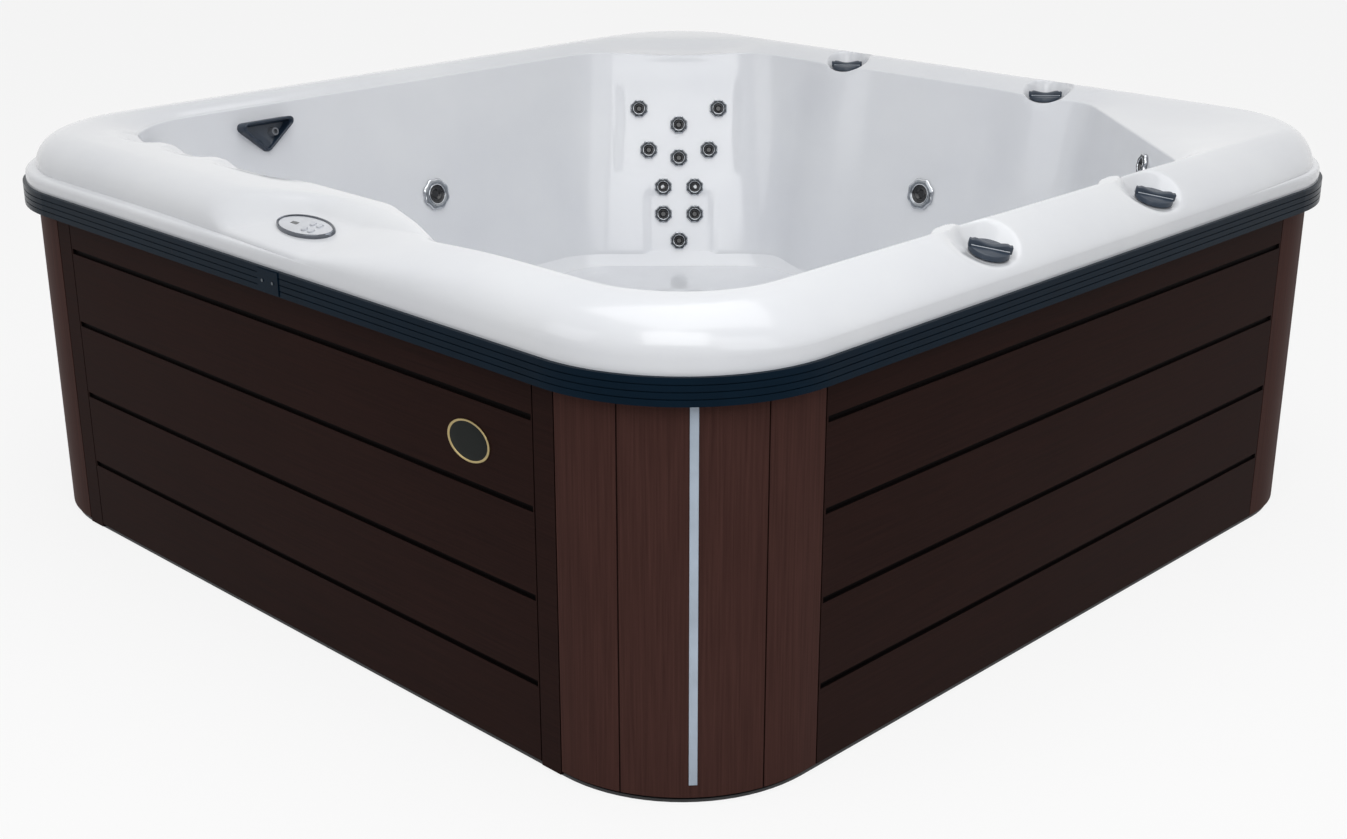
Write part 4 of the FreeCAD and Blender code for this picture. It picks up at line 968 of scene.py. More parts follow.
@dataclass(frozen=True)
class FilterMouth:
    """Mouth of the filter in the wall of the shelf."""

    sizes: ShellSizes
    middle: float = -0.445
    half: float = 0.110
    bottom: float = 0.762
    top: float = 0.842
    behind: float = 0.10
    before: float = 0.05
    room: float = 0.05
    snap: float = 1e-5

    def cut(self, mesh: Mesh) -> None:
        """Cut the mouth through the skin and close its edges.

        Args:
            mesh: Mesh of the whole shell.
        """
        wall = -self.sizes.shelf_wall
        low = Vector((self.middle - self.half, wall - self.behind, self.bottom))
        high = Vector((self.middle + self.half, wall + self.before, self.top))

        def inside(face: bmesh.types.BMFace, margin: float) -> bool:
            """Tell whether a face's middle is in the mouth's block, grown by a margin."""
            middle = face.calc_center_median()
            return all(low[i] - margin < middle[i] < high[i] + margin for i in range(3))

        for normal in ((1, 0, 0), (0, 0, 1)):
            for corner in (low, high):
                faces = [face for face in mesh.faces if inside(face, self.room)]
                parts = faces + list({edge for face in faces for edge in face.edges})
                parts += list({vert for face in faces for vert in face.verts})
                bmesh.ops.bisect_plane(mesh, geom=parts, dist=self.snap, plane_co=corner, plane_no=normal)
        bmesh.ops.delete(mesh, geom=[face for face in mesh.faces if inside(face, 0.0)], context="FACES")
        bmesh.ops.bridge_loops(mesh, edges=[edge for edge in mesh.edges if edge.is_boundary])


@dataclass
class Shell:
    """Moulded acrylic shell: rolled rim, reclined walls, bench and footwell in one skin."""

    paints: Paints
    sizes: ShellSizes = ShellSizes()
    around: int = 768
    flange_half: float = 1.162
    flange_inner: float = 1.085
    lip_round: float = 0.012
    rim_half: float = 1.142
    rim_corner: float = 0.018
    side_top: float = 0.846
    crest_halves: tuple[float, ...] = (1.050, 1.078, 1.035, 1.050)
    crest_corner: float = 0.225
    shoulder_flat: float = 0.43
    shoulder_room: float = 0.006
    shoulder_spread: float = 0.002
    deck_drop: float = 0.024
    deck_curve: float = 1.8
    edge_round: float = 0.006
    ridge_gain: float = 0.015
    # Where a change along the rim starts or ends, and the length over which it fades.
    front_ledge: Pair = (0.25, 0.65)
    back_ledge: Pair = (0.94, 0.30)
    flat_side: Pair = (0.70, 0.15)
    ridge_left: Pair = (-0.92, 0.16)
    ridge_right: Pair = (0.46, 0.20)
    right_wall: float = 1.020
    back_wall: float = 1.003
    left_wall: float = 0.988
    front_wall: float = 1.030
    shelf_end: float = 0.130
    shelf_slope: float = 20.6
    far_cut: float = 1.161
    right_cut: float = 1.075
    right_cut_angle: float = 49.0
    right_arc: float = 0.160
    far_arc: float = 0.220
    left_arc: float = 0.240
    shelf_arc: float = 0.180
    front_arc: float = 0.200
    recline: float = 0.104
    front_recline: float = 0.020
    column_half: float = 0.150
    column_proud: float = 0.016
    column_facing: float = 0.5
    seat_round: float = 0.024
    foot_half: float = 0.540
    foot_cut: float = 0.650
    foot_corner: float = 0.080
    foot_lip: float = 0.030
    foot_floor: float = 0.096
    foot_cove: float = 0.040
    skin: float = 0.022
    skin_top: float = 0.850
    pole: float = 0.012
    crowd: float = 2.5
    crowd_half: float = 0.10
    crowd_spread: float = 1.5
    # Directions looked through for each one that is kept, and steps across each form.
    fineness: int = 8
    round_steps: int = 4
    shoulder_steps: int = 20
    deck_steps: int = 15
    wall_steps: int = 32
    cove_steps: int = 6
    bench_steps: int = 6
    floor_steps: int = 5
    shelf: ShelfEdge = field(init=False)
    turns: np.ndarray = field(init=False)
    rim: Outline = field(init=False)
    seats: Outline = field(init=False)
    foot: Outline = field(init=False)

    def __post_init__(self) -> None:
        """Lay out the directions and the outlines."""
        self.shelf = ShelfEdge(self.sizes)
        self.turns = self.directions()
        self.rim = self.opening(0.0)
        self.seats = self.opening(1.0)
        reach = {True: self.foot_half, False: self.foot_cut}
        ways = range(0, 360, 45)
        self.foot = Outline(tuple(Side(way, reach[way % 90 == 0], self.foot_corner) for way in ways))

    def directions(self) -> np.ndarray:
        """Directions of the columns of points, closer together at the knobs and the bumps.

        Returns:
            The directions in radians, from one end of the turn to the other.
        """
        even = np.linspace(-math.pi, math.pi, self.fineness * self.around + 1)
        crowd = np.ones_like(even)
        knobs = [joint_place(name).translation for name in KNOBS]
        spots = [(spot.x, spot.y) for spot in knobs]
        spots += [(middle, self.shelf.bump_line) for middle, _ in self.shelf.bumps]
        for x, y in spots:
            away = np.abs(even - math.atan2(y, x))
            crowd += self.crowd * ease(self.crowd_spread - away / self.crowd_half)
        passed = np.concatenate([[0], np.cumsum((crowd[1:] + crowd[:-1]) / 2)])
        return np.interp(np.linspace(0, passed[-1], self.around + 1), passed, even)

    def opening(self, lean: float) -> Outline:
        """Outline of the inner wall.

        Args:
            lean: 0 at the rim and 1 where the wall meets the seats.

        Returns:
            The outline.
        """
        back = lean * self.recline
        shelf = self.sizes.shelf_wall
        flank_angle = 270 - self.shelf_slope
        turn = math.radians(flank_angle)
        flank = self.shelf_end * math.cos(turn) - shelf * math.sin(turn)
        sides = (
            Side(0, self.right_wall - back, self.right_arc),
            Side(self.right_cut_angle, self.right_cut - back, self.right_arc),
            Side(90, self.back_wall - back, self.far_arc),
            Side(135, self.far_cut - lean * self.sizes.far_recline, self.far_arc),
            Side(180, self.left_wall - back, self.left_arc),
            Side(270, shelf, self.shelf_arc),
            Side(flank_angle, flank, self.front_arc),
            Side(270, self.front_wall - lean * self.front_recline, self.front_arc),
        )
        return Outline(sides)

    def square(self, half: float, rounder: float = 0.0) -> np.ndarray:
        """Radii of the rounded square that shares its corner middles with the skirt.

        Args:
            half: Half of the square's side.
            rounder: Further radius of its corners.

        Returns:
            The radii.
        """
        corner = SKIRT_CORNER + half - SKIRT_HALF + rounder
        sides = tuple(Side(way, half, corner) for way in (0, 90, 180, 270))
        return Outline(sides).radii(0.0, self.turns)

    def crest(self) -> np.ndarray:
        """Radii of the highest line of the rim.

        Returns:
            The radii.
        """
        halves = enumerate(self.crest_halves)
        sides = tuple(Side(90 * turn, half, self.crest_corner) for turn, half in halves)
        return Outline(sides).radii(0.0, self.turns)

    def reclined(self, offset: float, level: float | np.ndarray) -> np.ndarray:
        """Radii of the plain reclined wall at a height.

        Args:
            offset: Distance by which the wall moves outwards.
            level: Height between the seats and the edge of the deck.

        Returns:
            The radii.
        """
        sizes = self.sizes
        lean = (sizes.wall_top - level) / (sizes.wall_top - sizes.wall_foot)
        upper = self.rim.radii(offset, self.turns)
        return upper * (1 - lean) + self.seats.radii(offset, self.turns) * lean

    def wall(self, level: float | np.ndarray) -> np.ndarray:
        """Radii of the inner wall at a height, brought in by the soft columns under the knobs.

        Args:
            level: Height between the seats and the edge of the deck.

        Returns:
            The radii.
        """
        radii = self.reclined(0.0, level)
        x = radii * np.cos(self.turns)
        y = radii * np.sin(self.turns)
        proud = np.zeros_like(radii)
        for name in KNOBS:
            spot = joint_place(name).translation
            across, reach = (y - spot.y, x) if on_right(name) else (x - spot.x, y)
            share = ease(1 - np.abs(across) / self.column_half)
            facing = np.maximum(reach / radii, self.column_facing)
            proud += np.where(reach > self.foot_half, self.column_proud * share / facing, 0)
        return radii - proud

    def ledge(self) -> np.ndarray:
        """Share of the ledge over the flange: none at the near corner and along the right.

        Returns:
            The share in each direction.
        """
        across = np.cos(self.turns)
        front = ease((self.front_ledge[0] - across) / self.front_ledge[1])
        back = ease((self.back_ledge[0] - across) / self.back_ledge[1])
        return np.where(np.sin(self.turns) < 0, front, back)

    def drops(self) -> np.ndarray:
        """Fall of the deck from the crest to its inner edge, less along the shelf.

        Returns:
            The fall in each direction.
        """
        x = self.rim.radii(0.0, self.turns) * np.cos(self.turns)
        ridge = ease((x - self.ridge_left[0]) / self.ridge_left[1])
        ridge = ridge * ease((self.ridge_right[0] - x) / self.ridge_right[1])
        return self.deck_drop - self.ridge_gain * ridge * (np.sin(self.turns) < 0)

    def underside(self) -> Rings:
        """Rings of the hidden underside, from its middle out to the flange.

        Returns:
            Radii and height of each ring.
        """
        skin = self.skin
        sizes = self.sizes
        below = sizes.bench - skin
        foot_side = self.foot.radii(skin, self.turns)
        seat_side = self.seats.radii(skin, self.turns)
        flange = self.square(self.flange_inner)
        rings = [
            (np.full_like(self.turns, self.pole), self.foot_floor - skin / 2),
            (self.foot.radii(-self.foot_cove, self.turns), self.foot_floor - skin / 2),
            (foot_side, self.foot_floor + self.foot_cove),
            (foot_side, below - self.foot_lip),
            (self.foot.radii(skin + self.foot_lip, self.turns), below),
            (self.seats.radii(-sizes.seat_cove, self.turns), below),
            (seat_side, sizes.wall_foot),
        ]
        upper = self.reclined(skin, self.skin_top)
        for share in shares(self.round_steps):
            level = sizes.wall_foot + share * (self.skin_top - sizes.wall_foot)
            rings.append((seat_side * (1 - share) + upper * share, level))
        return rings + [(flange, self.skin_top), (flange, sizes.flange_bottom)]

    def rim_rings(self) -> Rings:
        """Rings of the rim from its flange over the crest and the deck to the top of the wall.

        Returns:
            Radii and height of each ring.
        """
        flange_top = self.sizes.flange_top
        rim_top = self.sizes.rim_top
        flange = self.square(self.flange_half)
        rings = [(flange, self.sizes.flange_bottom), (flange, flange_top - self.lip_round)]
        ledge = self.ledge()
        flush = flange * (1 - ledge)
        for turn in quarter(self.round_steps):
            half = self.flange_half - self.lip_round * (1 - math.cos(turn))
            level = flange_top + self.lip_round * (math.sin(turn) - 1)
            rings.append((self.square(half) * ledge + flush, level))
        side = self.square(self.rim_half, self.rim_corner) * ledge + flush
        rings.append((side, flange_top + self.lip_round / 4 * ledge))
        drops = self.drops()
        brink = rim_top - drops
        edge = self.wall(brink - self.edge_round) + self.edge_round
        crest = self.crest()
        foot = self.side_top * ledge + flange_top * (1 - ledge)
        facing = ease((np.cos(self.turns) - self.flat_side[0]) / self.flat_side[1])
        flat = 1 + self.shoulder_flat * facing
        for turn in np.linspace(0, math.pi / 2, self.shoulder_steps + 1):
            level = foot + (rim_top - foot) * math.sin(turn) ** flat
            room = self.shoulder_room + self.shoulder_spread * (math.pi / 2 - turn)
            reach = crest + (side - crest) * max(0.0, math.cos(turn)) ** flat
            rings.append((np.maximum(reach, edge + room), level))
        top = rings[-1][0]
        for share in shares(self.deck_steps):
            rings.append((top * (1 - share) + edge * share, rim_top - drops * share**self.deck_curve))
        for turn in quarter(self.round_steps):
            level = brink - self.edge_round * (1 - math.cos(turn))
            rings.append((edge - self.edge_round * math.sin(turn), level))
        return rings

    def inner_rings(self) -> Rings:
        """Rings of the walls, seats and footwell down to the middle of the floor.

        Returns:
            Radii and height of each ring.
        """
        bench = self.sizes.bench
        top = self.sizes.rim_top - self.drops() - self.edge_round
        levels = np.linspace(top, bench + self.seat_round, self.wall_steps + 1)[1:]
        rings = [(self.wall(level), level) for level in levels]
        base = rings[-1][0]
        for turn in quarter(self.cove_steps):
            level = bench + self.seat_round * (1 - math.sin(turn))
            rings.append((base + self.seat_round * (math.cos(turn) - 1), level))
        inner = self.foot.radii(self.foot_lip, self.turns)
        outer = rings[-1][0]
        for share in shares(self.bench_steps):
            rings.append((outer * (1 - share) + inner * share, bench))
        lip = bench - self.foot_lip
        for turn in quarter(self.round_steps):
            offset = self.foot_lip * (1 - math.sin(turn))
            rings.append((self.foot.radii(offset, self.turns), lip + self.foot_lip * math.cos(turn)))
        cove = self.foot_floor + self.foot_cove
        for share in shares(self.round_steps):
            rings.append((self.foot.radii(0.0, self.turns), lip * (1 - share) + cove * share))
        for turn in quarter(self.round_steps):
            offset = self.foot_cove * (math.cos(turn) - 1)
            rings.append((self.foot.radii(offset, self.turns), cove - self.foot_cove * math.sin(turn)))
        edge = rings[-1][0]
        for share in shares(self.floor_steps):
            rings.append((edge * (1 - share) + self.pole * share, self.foot_floor))
        return rings

    def build(self) -> None:
        """Model the shell as one closed skin and dress it."""
        hidden = self.underside()
        rings = hidden + self.rim_rings() + self.inner_rings()
        points = np.empty((len(rings), len(self.turns), 3))
        for row, (radii, level) in zip(points, rings):
            row[:, 0] = radii * np.cos(self.turns)
            row[:, 1] = radii * np.sin(self.turns)
            row[:, 2] = level
        visible = points[len(hidden):]
        JetPanel(self.sizes).press(visible)
        KnobDishes(self.sizes).press(visible)
        ControlSeat(self.sizes).press(visible)
        self.shelf.press(visible)
        CornerDip(self.sizes).press(visible)
        RimBumps(self.sizes).press(visible)
        mesh = skinned(points)
        FilterMouth(self.sizes).cut(mesh)
        piece = Piece("moulded_shell", TUB, Slot.ACRYLIC, self.paints.of(Slot.ACRYLIC))
        piece.add(mesh, replaces=("shell",))


class JetKind(Enum):
    """Kinds of jet by size."""

    SMALL = (0.027, 0.008, 0.12)
    LARGE = (0.044, 0.012, 0.075)
    MINI = (0.015, 0.005, 0.12)

    def __init__(self, radius: float, bore: float, scallop: float) -> None:
        """Keep the sizes of a kind.

        Args:
            radius: Radius of the scalloped face.
            bore: Radius of the nozzle's hole.
            scallop: Depth of a lobe as a share of the radius.
        """
        self.radius = radius
        self.bore = bore
        self.scallop = scallop


@dataclass
class Jet:
    """Turning jet face: a scalloped face in a bright skirt, a thin bright ring and a dark core.

    The sections give radius and height as shares of the whole face.
    """

    paints: Paints
    name: str
    kind: JetKind
    lobes: int = 8
    steps: int = 96
    low: float = 0.0023
    high: float = 0.0093
    wave_start: float = 0.66
    wave_full: float = 0.92
    bore_edge: float = 0.001
    bore_depth: float = 0.0012
    bore_taper: float = 0.8
    skirt_back: Section = ((0.55, 0.0), (0.96, 0.0), (1.0, 0.12), (1.0, 0.40))
    skirt_front: Section = ((0.98, 0.62), (0.935, 0.80), (0.90, 0.86))
    face_outer: Section = ((0.90, 0.86), (0.84, 0.95), (0.76, 1.0))
    face_inner: Section = ((0.69, 0.97), (0.64, 0.86), (0.62, 0.6))
    ring_outer: Section = ((0.63, 0.5), (0.63, 0.94), (0.605, 1.02))
    ring_inner: Section = ((0.575, 0.98), (0.56, 0.84), (0.555, 0.3))
    core_outer: Section = ((0.57, 0.0), (0.57, 0.56), (0.52, 0.66), (0.47, 0.46))
    core_inner: Section = ((0.42, 0.44), (0.39, 0.62), (0.35, 0.66), (0.32, 0.56))

    def build(self) -> None:
        """Model the skirt, the face, the thin ring and the core."""
        bright = self.paints.of(Slot.BRIGHT)
        large = self.kind is JetKind.LARGE
        # The small jets' faces take the near-black chrome of the painted dark reflection.
        chrome = self.paints.soft_chrome if large else self.paints.dark_reflection_chrome
        skirt = self.scaled(self.skirt_back + self.skirt_front)
        self.add("skirt", skirt, Slot.BRIGHT, bright, (self.name,))
        self.add("face", self.scaled(self.face_outer + self.face_inner), Slot.KNOB, chrome)
        self.add("ring", self.scaled(self.ring_outer + self.ring_inner), Slot.BRIGHT, bright)
        core = self.scaled(self.core_outer + self.core_inner) + self.nozzle()
        self.add("core", core, Slot.KNOB, self.paints.black)

    def scaled(self, section: Section) -> list[Pair]:
        """Radius and height of the points of a section."""
        tall = self.high - self.low
        return [(self.kind.radius * reach, self.low + tall * rise) for reach, rise in section]

    def nozzle(self) -> list[Pair]:
        """Radius and height of the points of the nozzle's hole.

        Returns:
            The points, from the edge of the hole to its middle.
        """
        bore = self.kind.bore
        floor = self.low - self.bore_depth
        return [(bore, self.low + self.bore_edge), (bore * self.bore_taper, floor), (0.0, floor)]

    def add(
        self,
        part: str,
        profile: list[Pair],
        slot: Slot,
        paint: Paint,
        replaces: tuple[str, ...] = (),
    ) -> None:
        """Turn a profile, press the lobes into it and set it on the wall.

        Args:
            part: Name of the part of the jet.
            profile: Radius and height of each point.
            slot: Material slot that the part takes its finish from.
            paint: Material of the part.
            replaces: Nodes that the part stands for.
        """
        radius = self.kind.radius
        mesh = spun(profile, self.steps)
        waved(mesh, self.lobes, self.kind.scallop, radius * self.wave_start, radius * self.wave_full)
        Piece(f"{self.name}_{part}", self.name, slot, paint).add(mesh, joint_place(self.name), replaces)


@dataclass
class Knob:
    """Valve knob: a low disc with a saddled bar across it and a pale line under the bar, a painted highlight for
    the lit edge at the bar's foot.

    The sections give a share of the radius and a height over the foot or the top of the disc.
    """

    paints: Paints
    name: str
    turn: float = 41.0
    steps: int = 72
    radius: float = 0.040
    lift: float = 0.0023
    base: float = 0.012
    foot_section: Section = ((0.0, 0.0), (0.94, 0.0), (1.0, 0.0018))
    edge_section: Section = ((0.985, -0.004), (0.95, -0.0012), (0.88, 0.0))
    top_section: Section = ((0.5, 0.0006), (0.0, 0.0006))
    bar_length: float = 0.084
    bar_width: float = 0.017
    bar_top: float = 0.026
    bar_sunk: float = 0.6
    bar_cuts: int = 15
    bar_draft: float = 0.82
    bar_pinch: float = 0.22
    bar_droop: float = 0.004
    bar_round: float = 0.0022
    bar_crease: float = 0.6
    saddle: float = 0.0075
    line_reach: float = 1.84
    line_proud: float = 0.0022
    line_height: float = 0.0012
    line_lift: float = 0.0010
    line_round: float = 0.0004

    def build(self) -> None:
        """Model the disc, the bar and the pale line of painted highlight."""
        rest = Matrix.Rotation(math.radians(self.turn), 4, "Z")
        place = joint_place(self.name, NORTH) @ rest
        dark = self.paints.of(Slot.KNOB)
        disc = Piece(f"{self.name}_disc", self.name, Slot.KNOB, dark)
        disc.add(self.disc(), place, (self.name,))
        bar = Piece(f"{self.name}_bar", self.name, Slot.KNOB, dark)
        bar.add(self.bar(), place)
        line = Piece(f"{self.name}_line", self.name, Slot.KNOB, self.paints.line)
        line.add(self.line(), place)

    def disc(self) -> Mesh:
        """Low disc with a rounded edge.

        Returns:
            The modelled mesh.
        """
        top = self.lift + self.base
        profile = [(self.radius * share, self.lift + rise) for share, rise in self.foot_section]
        upper = self.edge_section + self.top_section
        profile += [(self.radius * share, top + rise) for share, rise in upper]
        return spun(profile, self.steps)

    def bar(self) -> Mesh:
        """Bar with a saddled top, waisted sides and rounded edges.

        Returns:
            The modelled mesh.
        """
        mesh = bmesh.new()
        low = self.lift + self.base * self.bar_sunk
        high = self.lift + self.bar_top
        size = Matrix.Diagonal((self.bar_length, self.bar_width, high - low, 1.0))
        middle = Matrix.Translation((0, 0, (high + low) / 2))
        bmesh.ops.create_cube(mesh, size=1.0, matrix=middle @ size)
        half = self.bar_length / 2
        runs = [edge for edge in mesh.edges if abs(edge.verts[0].co.x - edge.verts[1].co.x) > half]
        bmesh.ops.subdivide_edges(mesh, edges=runs, cuts=self.bar_cuts, use_grid_fill=True)
        for vert in mesh.verts:
            share = vert.co.x / half
            if vert.co.z > middle.translation.z:
                sag = self.saddle * math.cos(share * math.pi / 2) ** 2
                vert.co.z -= sag + self.bar_droop * share**4
                vert.co.y *= self.bar_draft
            vert.co.y *= 1 - self.bar_pinch * share**4
        edges = [edge for edge in mesh.edges if edge.calc_face_angle(0.0) > self.bar_crease]
        rounded(mesh, edges, self.bar_round, segments=3)
        return mesh

    def line(self) -> Mesh:
        """Pale line round the root of the bar: a painted highlight for the disc's edge catching the light there.

        Returns:
            The modelled mesh.
        """
        mesh = bmesh.new()
        length = self.radius * self.line_reach
        size = Matrix.Diagonal((length, self.bar_width + self.line_proud, self.line_height, 1.0))
        middle = Matrix.Translation((0, 0, self.lift + self.base + self.line_lift))
        bmesh.ops.create_cube(mesh, size=1.0, matrix=middle @ size)
        rounded(mesh, list(mesh.edges), self.line_round, segments=2)
        return mesh


@dataclass
class ControlPanel:
    """Oval control panel: a metal bezel and four flat button caps.

    The bezel's sections give shares of its width and height, the cap's section a share of the
    radius and a height over the cap's top.
    """

    paints: Paints
    long: float = 0.080
    short: float = 0.030
    bezel_width: float = 0.006
    bezel_height: float = 0.008
    bezel_steps: int = 128
    bezel_outer: Section = ((0.06, 0.0), (1.0, 0.0), (1.0, 0.35), (0.9, 0.72), (0.66, 0.95))
    bezel_inner: Section = ((0.4, 1.0), (0.16, 0.88), (0.06, 0.6), (0.06, 0.0))
    plate: float = 0.005
    button_radius: float = 0.007
    button_height: float = 0.003
    cap_share: float = 0.97
    cap_foot: float = 0.004
    cap_steps: int = 40
    cap_section: Section = ((1.0, -0.0008), (0.93, 0.0), (0.8, 0.0), (0.5, -0.0005), (0.0, -0.0007))

    def build(self) -> None:
        """Model the bezel and the button caps."""
        place = Matrix.Translation(CONTROL_AT) @ self.tilt()
        bezel = Piece("control_bezel_ring", TUB, Slot.BRIGHT, self.paints.bezel)
        bezel.add(self.bezel(), place, ("control_bezel",))
        for row in ("upper", "lower"):
            for column in (1, 2):
                name = f"button_{row}_{column}"
                cap = Piece(f"{name}_cap", name, Slot.BUTTON, self.paints.of(Slot.BUTTON))
                cap.add(self.cap(), self.cap_place(name), (name,))

    def tilt(self) -> Matrix:
        """Turn of the panel from level to the slope of its seat."""
        return Matrix.Rotation(math.radians(CONTROL_TILT), 4, "X")

    def bezel(self) -> Mesh:
        """Rounded ring round the oval face.

        Returns:
            The modelled mesh.
        """
        section = self.bezel_outer + self.bezel_inner
        mesh = spun([(1.0 + reach, rise) for reach, rise in section], self.bezel_steps)
        for vert in mesh.verts:
            turn = math.atan2(vert.co.y, vert.co.x)
            grow = (math.hypot(vert.co.x, vert.co.y) - 1.0) * self.bezel_width
            vert.co.x = (self.long + grow) * math.cos(turn)
            vert.co.y = (self.short + grow) * math.sin(turn)
            vert.co.z *= self.bezel_height
        return mesh

    def cap(self) -> Mesh:
        """Flat round button cap with a shallow dish.

        Returns:
            The modelled mesh.
        """
        radius = self.button_radius * self.cap_share
        foot = self.plate - self.cap_foot
        top = self.plate + self.button_height
        profile = [(0.0, foot), (radius, foot)]
        profile += [(radius * share, top + rise) for share, rise in self.cap_section]
        return spun(profile, self.cap_steps)

    def cap_place(self, name: str) -> Matrix:
        """Place of a button cap, with its middle on the middle of its node.

        Args:
            name: Node of the button.

        Returns:
            The place as a matrix.
        """
        low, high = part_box(name)
        middle = (self.plate - self.cap_foot + self.plate + self.button_height) / 2
        return Matrix.Translation((low + high) / 2) @ self.tilt() @ Matrix.Translation((0, 0, -middle))


@dataclass
class Spout:
    """Smooth rounded scoop of the water spout, deepest under its top edge."""

    paints: Paints
    at: Triple = (-0.9829, -0.482, 0.8545)
    lean: Pair = (0.9806, 0.1961)
    top: float = 0.024
    flank: float = 0.046
    flank_angle: float = 42.0
    corner: float = 0.013
    foot_corner: float = 1.3
    drop: float = 0.025
    height: float = 0.082
    depth: float = 0.040
    foot_depth: float = 0.010
    floor: float = 0.006
    around: int = 96
    sharp: float = 60.0
    # Offset of each ring from the outline and its height over the front; -1 is down on the floor.
    lip_outer: Section = ((0.0, -1.0), (0.0, -0.006), (-0.0012, -0.0022), (-0.0035, -0.0004))
    lip_inner: Section = ((-0.0060, -0.0010), (-0.0078, -0.0035), (-0.0095, -0.010), (-0.0130, -1.0))

    def build(self) -> None:
        """Model the scoop from its back edge over the lip to its floor."""
        steps = self.lip_outer + self.lip_inner
        turns = np.linspace(0, 2 * math.pi, self.around + 1)
        outline = self.outline()
        points = np.empty((len(steps), len(turns), 3))
        for row, (ring, (offset, over)) in enumerate(zip(points, steps)):
            reach = outline.radii(offset, turns)
            ring[:, 0] = reach * np.cos(turns)
            ring[:, 1] = reach * np.sin(turns) - self.drop
            share = np.clip(-ring[:, 1] / self.height, 0, 1)
            front = self.depth + (self.foot_depth - self.depth) * share
            ring[:, 2] = np.maximum(0.0 if row == 0 else self.floor, front + over)
        out = Vector((self.lean[0], 0, self.lean[1]))
        rise = Vector((-self.lean[1], 0, self.lean[0]))
        piece = Piece("spout_scoop", TUB, Slot.KNOB, self.paints.of(Slot.KNOB), self.sharp)
        piece.add(skinned(points), placed(Vector(self.at), rise, out), ("spout_hood",))

    def outline(self) -> Outline:
        """Rounded three-sided outline, flat along the top.

        Returns:
            The outline.
        """
        low = 270 - self.flank_angle
        sides = (
            Side(90, self.top, self.corner),
            Side(low, self.flank, self.corner * self.foot_corner),
            Side(540 - low, self.flank, self.corner),
        )
        return Outline(sides)


@dataclass
class Badge:
    """Bare oval plate with a raised edge on the front panel.

    The sections give radius and height as shares of the plate.
    """

    paints: Paints
    at: Triple = (0.603, -1.140, 0.593)
    half_width: float = 0.058
    half_height: float = 0.040
    thickness: float = 0.003
    edge: float = 0.004
    steps: int = 96
    field_section: Section = ((0.0, 0.0), (1.0, 0.0), (1.0, 0.55), (0.96, 0.62), (0.6, 0.7), (0.0, 0.72))
    edge_outer: Section = ((0.90, 0.0), (1.0, 0.0), (1.0, 0.7), (0.985, 0.95))
    edge_inner: Section = ((0.955, 1.0), (0.925, 0.9), (0.90, 0.6), (0.90, 0.0))

    def build(self) -> None:
        """Model the field and its edge."""
        self.add("badge_field", self.field_section, self.edge, self.paints.badge)
        self.add("badge_edge", self.edge_outer + self.edge_inner, 0.0, self.paints.brass)

    def add(self, name: str, section: Section, inset: float, paint: Paint) -> None:
        """Turn a section, make it oval and set it on the panel.

        Args:
            name: Name of the piece.
            section: Radius and height as shares of the plate.
            inset: Distance that the oval keeps from the plate's edge.
            paint: Material of the piece.
        """
        place = placed(Vector(self.at), UPRIGHT, -NORTH)
        oval = Matrix.Diagonal((self.half_width - inset, self.half_height - inset, self.thickness, 1.0))
        Piece(name, TUB, Slot.BRIGHT, paint).add(spun(section, self.steps), place @ oval)


@dataclass
class Skirt:
    """Skirt, trim, fittings and inner works, which keep the shape of their nodes."""

    paints: Paints

    def paint(self, node: str, slot: str) -> Paint:
        """Material of a node.

        Args:
            node: Name of the node.
            slot: Name of its material slot.

        Returns:
            The material.
        """
        # The corner panels take the lighter, painted-light copy of the board.
        if node.startswith("corner_panel"):
            return self.paints.lit_upright_board
        if node == "trim_screws":
            return self.paints.dull_steel
        return self.paints.of(Slot(slot))

    def dress(self) -> None:
        """Give every node its material."""
        slots = {row["node"]: row["material_slot"] for row in frame["record"]["subparts"]}
        for name, thing in frame["nodes"].items():
            paint = self.paint(name, slots[name])
            thing.data.materials.clear()
            thing.data.materials.append(paint)
            log.info("%s dressed with %s", name, paint.name)


@dataclass(frozen=True)
class Lamp:
    """Square soft lamp: its place, the point that it faces, its side in metres and its watts."""

    name: str
    at: Triple
    target: Triple
    size: float
    power: float

    def build(self) -> None:
        """Hang the lamp."""
        data = bpy.data.lights.new(self.name, "AREA")
        data.size = self.size
        data.energy = self.power
        lamp = show(self.name, data)
        lamp.location = self.at
        facing = Vector(self.target) - Vector(self.at)
        lamp.rotation_euler = facing.to_track_quat("-Z", "Y").to_euler()


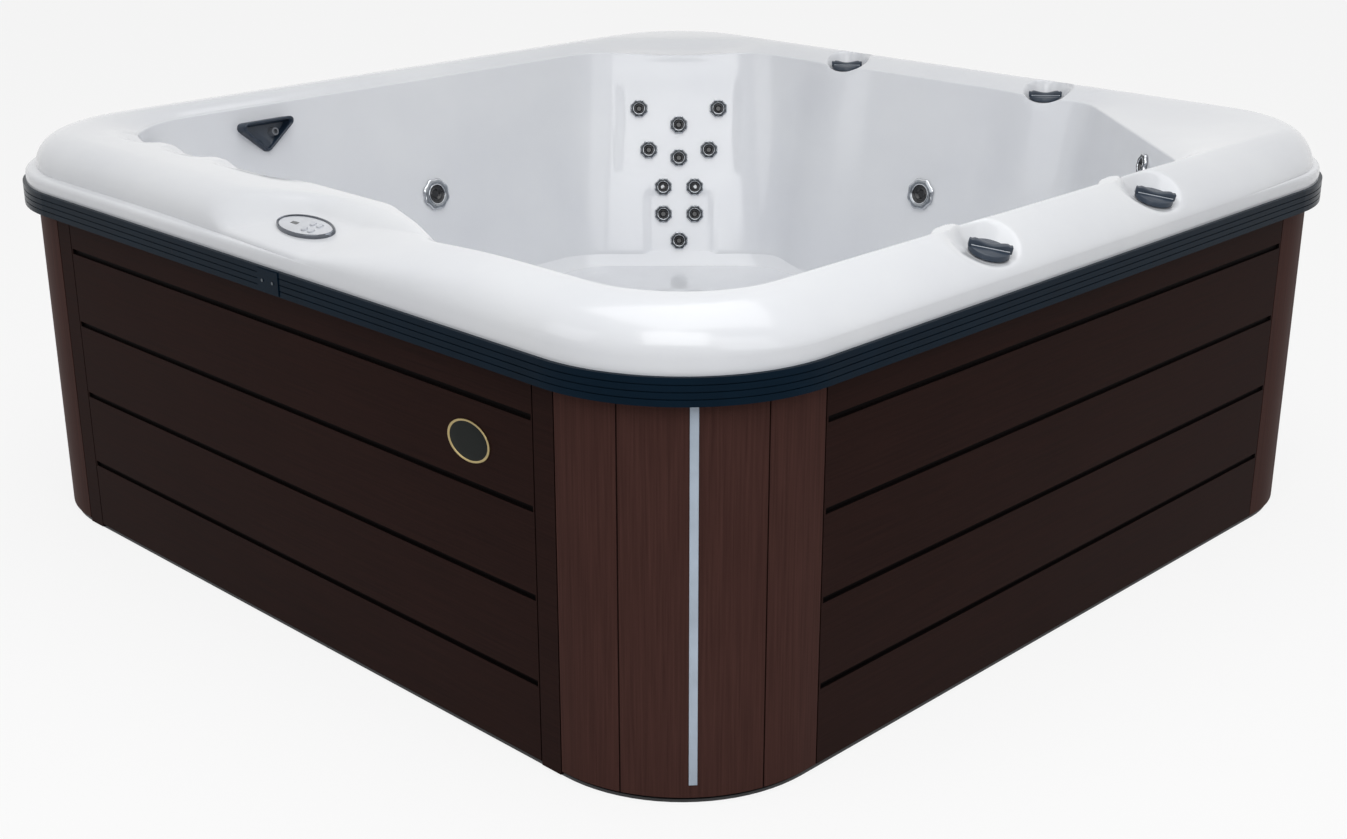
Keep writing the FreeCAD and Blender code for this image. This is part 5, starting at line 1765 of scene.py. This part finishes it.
@dataclass
class Studio:
    """Pale floor, soft lamps and the camera at the photograph's angle."""

    lens: float = 50.18
    eye: Triple = (3.041, -3.115, 1.786)
    yaw: float = 44.3385
    pitch: float = 20.3021
    floor_half: float = 30.0
    floor_tone: float = 0.85
    floor_rough: float = 0.9
    floor_white: float = 0.86
    sky: float = 0.30
    lamps: tuple[Lamp, ...] = (
        Lamp("top_lamp", (0.6, -0.2, 4.6), (0, 0, 0.6), 4.0, 82.0),
        Lamp("right_lamp", (5.0, -1.0, 3.0), (0.6, 0, 0.5), 3.0, 34.0),
        Lamp("left_lamp", (-1.6, -5.4, 3.0), (0, -0.6, 0.5), 3.0, 27.0),
        Lamp("front_lamp", (2.2, -2.4, 2.7), (0.6, -0.6, 0.7), 1.8, 29.0),
    )

    def build(self) -> None:
        """Make the floor, the world, the lamps and the camera."""
        self.floor()
        self.world()
        for lamp in self.lamps:
            lamp.build()
        self.camera()
        bpy.context.scene.view_settings.view_transform = "Standard"

    def camera(self) -> None:
        """Set up the camera."""
        data = bpy.data.cameras.new("camera")
        data.lens = self.lens
        camera = show("camera", data)
        camera.location = self.eye
        camera.rotation_euler = (math.radians(90 - self.pitch), 0.0, math.radians(self.yaw))
        bpy.context.scene.camera = camera

    def floor(self) -> None:
        """Lay a pale floor that shows white and keeps a soft shadow."""
        mesh = bmesh.new()
        bmesh.ops.create_grid(mesh, x_segments=2, y_segments=2, size=self.floor_half)
        data = bpy.data.meshes.new("floor")
        mesh.to_mesh(data)
        mesh.free()
        data.materials.append(self.floor_paint())
        show("floor", data)

    def floor_paint(self) -> Paint:
        """Pale matt floor, mostly white to the camera and in mirrors.

        Returns:
            The material.
        """
        shader = Shader("pale_floor")
        tone = self.floor_tone
        shader.set(Base_Color=(tone, tone, tone, 1.0), Roughness=self.floor_rough)
        white = shader.node("ShaderNodeEmission")
        white.inputs["Strength"].default_value = 1.0
        seen = shader.maths("MULTIPLY", self.seen(shader.tree), self.floor_white)
        blend = shader.node("ShaderNodeMixShader")
        sources = (seen, shader.surface.outputs["BSDF"], white.outputs["Emission"])
        for source, target in zip(sources, blend.inputs):
            shader.link(source, target)
        shader.link(blend.outputs["Shader"], shader.tree.nodes["Material Output"].inputs["Surface"])
        return shader.material

    def seen(self, tree: bpy.types.NodeTree) -> Socket:
        """Value of 1 for rays from the camera, mirrors and glass.

        Args:
            tree: Node tree of the floor or the world.

        Returns:
            The value.
        """
        path = tree.nodes.new("ShaderNodeLightPath")
        seen = path.outputs["Is Camera Ray"]
        for ray in ("Is Glossy Ray", "Is Transmission Ray"):
            either = tree.nodes.new("ShaderNodeMath")
            either.operation = "MAXIMUM"
            tree.links.new(seen, either.inputs[0])
            tree.links.new(path.outputs[ray], either.inputs[1])
            seen = either.outputs["Value"]
        return seen

    def world(self) -> None:
        """Make white surroundings that light the tub softly."""
        world = bpy.data.worlds.new("studio")
        world.use_nodes = True
        tree = world.node_tree
        back = tree.nodes["Background"]
        back.inputs["Color"].default_value = (1, 1, 1, 1)
        span = tree.nodes.new("ShaderNodeMapRange")
        span.inputs["To Min"].default_value = self.sky
        span.inputs["To Max"].default_value = 1.0
        tree.links.new(self.seen(tree), span.inputs["Value"])
        tree.links.new(span.outputs["Result"], back.inputs["Strength"])
        bpy.context.scene.world = world


JET_KINDS = {
    "jet_large_left": JetKind.LARGE,
    "jet_large_back": JetKind.LARGE,
    "jet_mini": JetKind.MINI,
}


def main() -> None:
    """Build every sub-assembly in order."""
    logging.basicConfig(level=logging.INFO, format="%(message)s")
    paints = Paints()
    Skirt(paints).dress()
    Shell(paints).build()
    for joint in frame["joints"]:
        name = joint["child"]
        if name.startswith("jet_"):
            Jet(paints, name, JET_KINDS.get(name, JetKind.SMALL)).build()
    for name in KNOBS:
        Knob(paints, name).build()
    ControlPanel(paints).build()
    Spout(paints).build()
    Badge(paints).build()
    Studio().build()


if __name__ == "__main__":
    main()
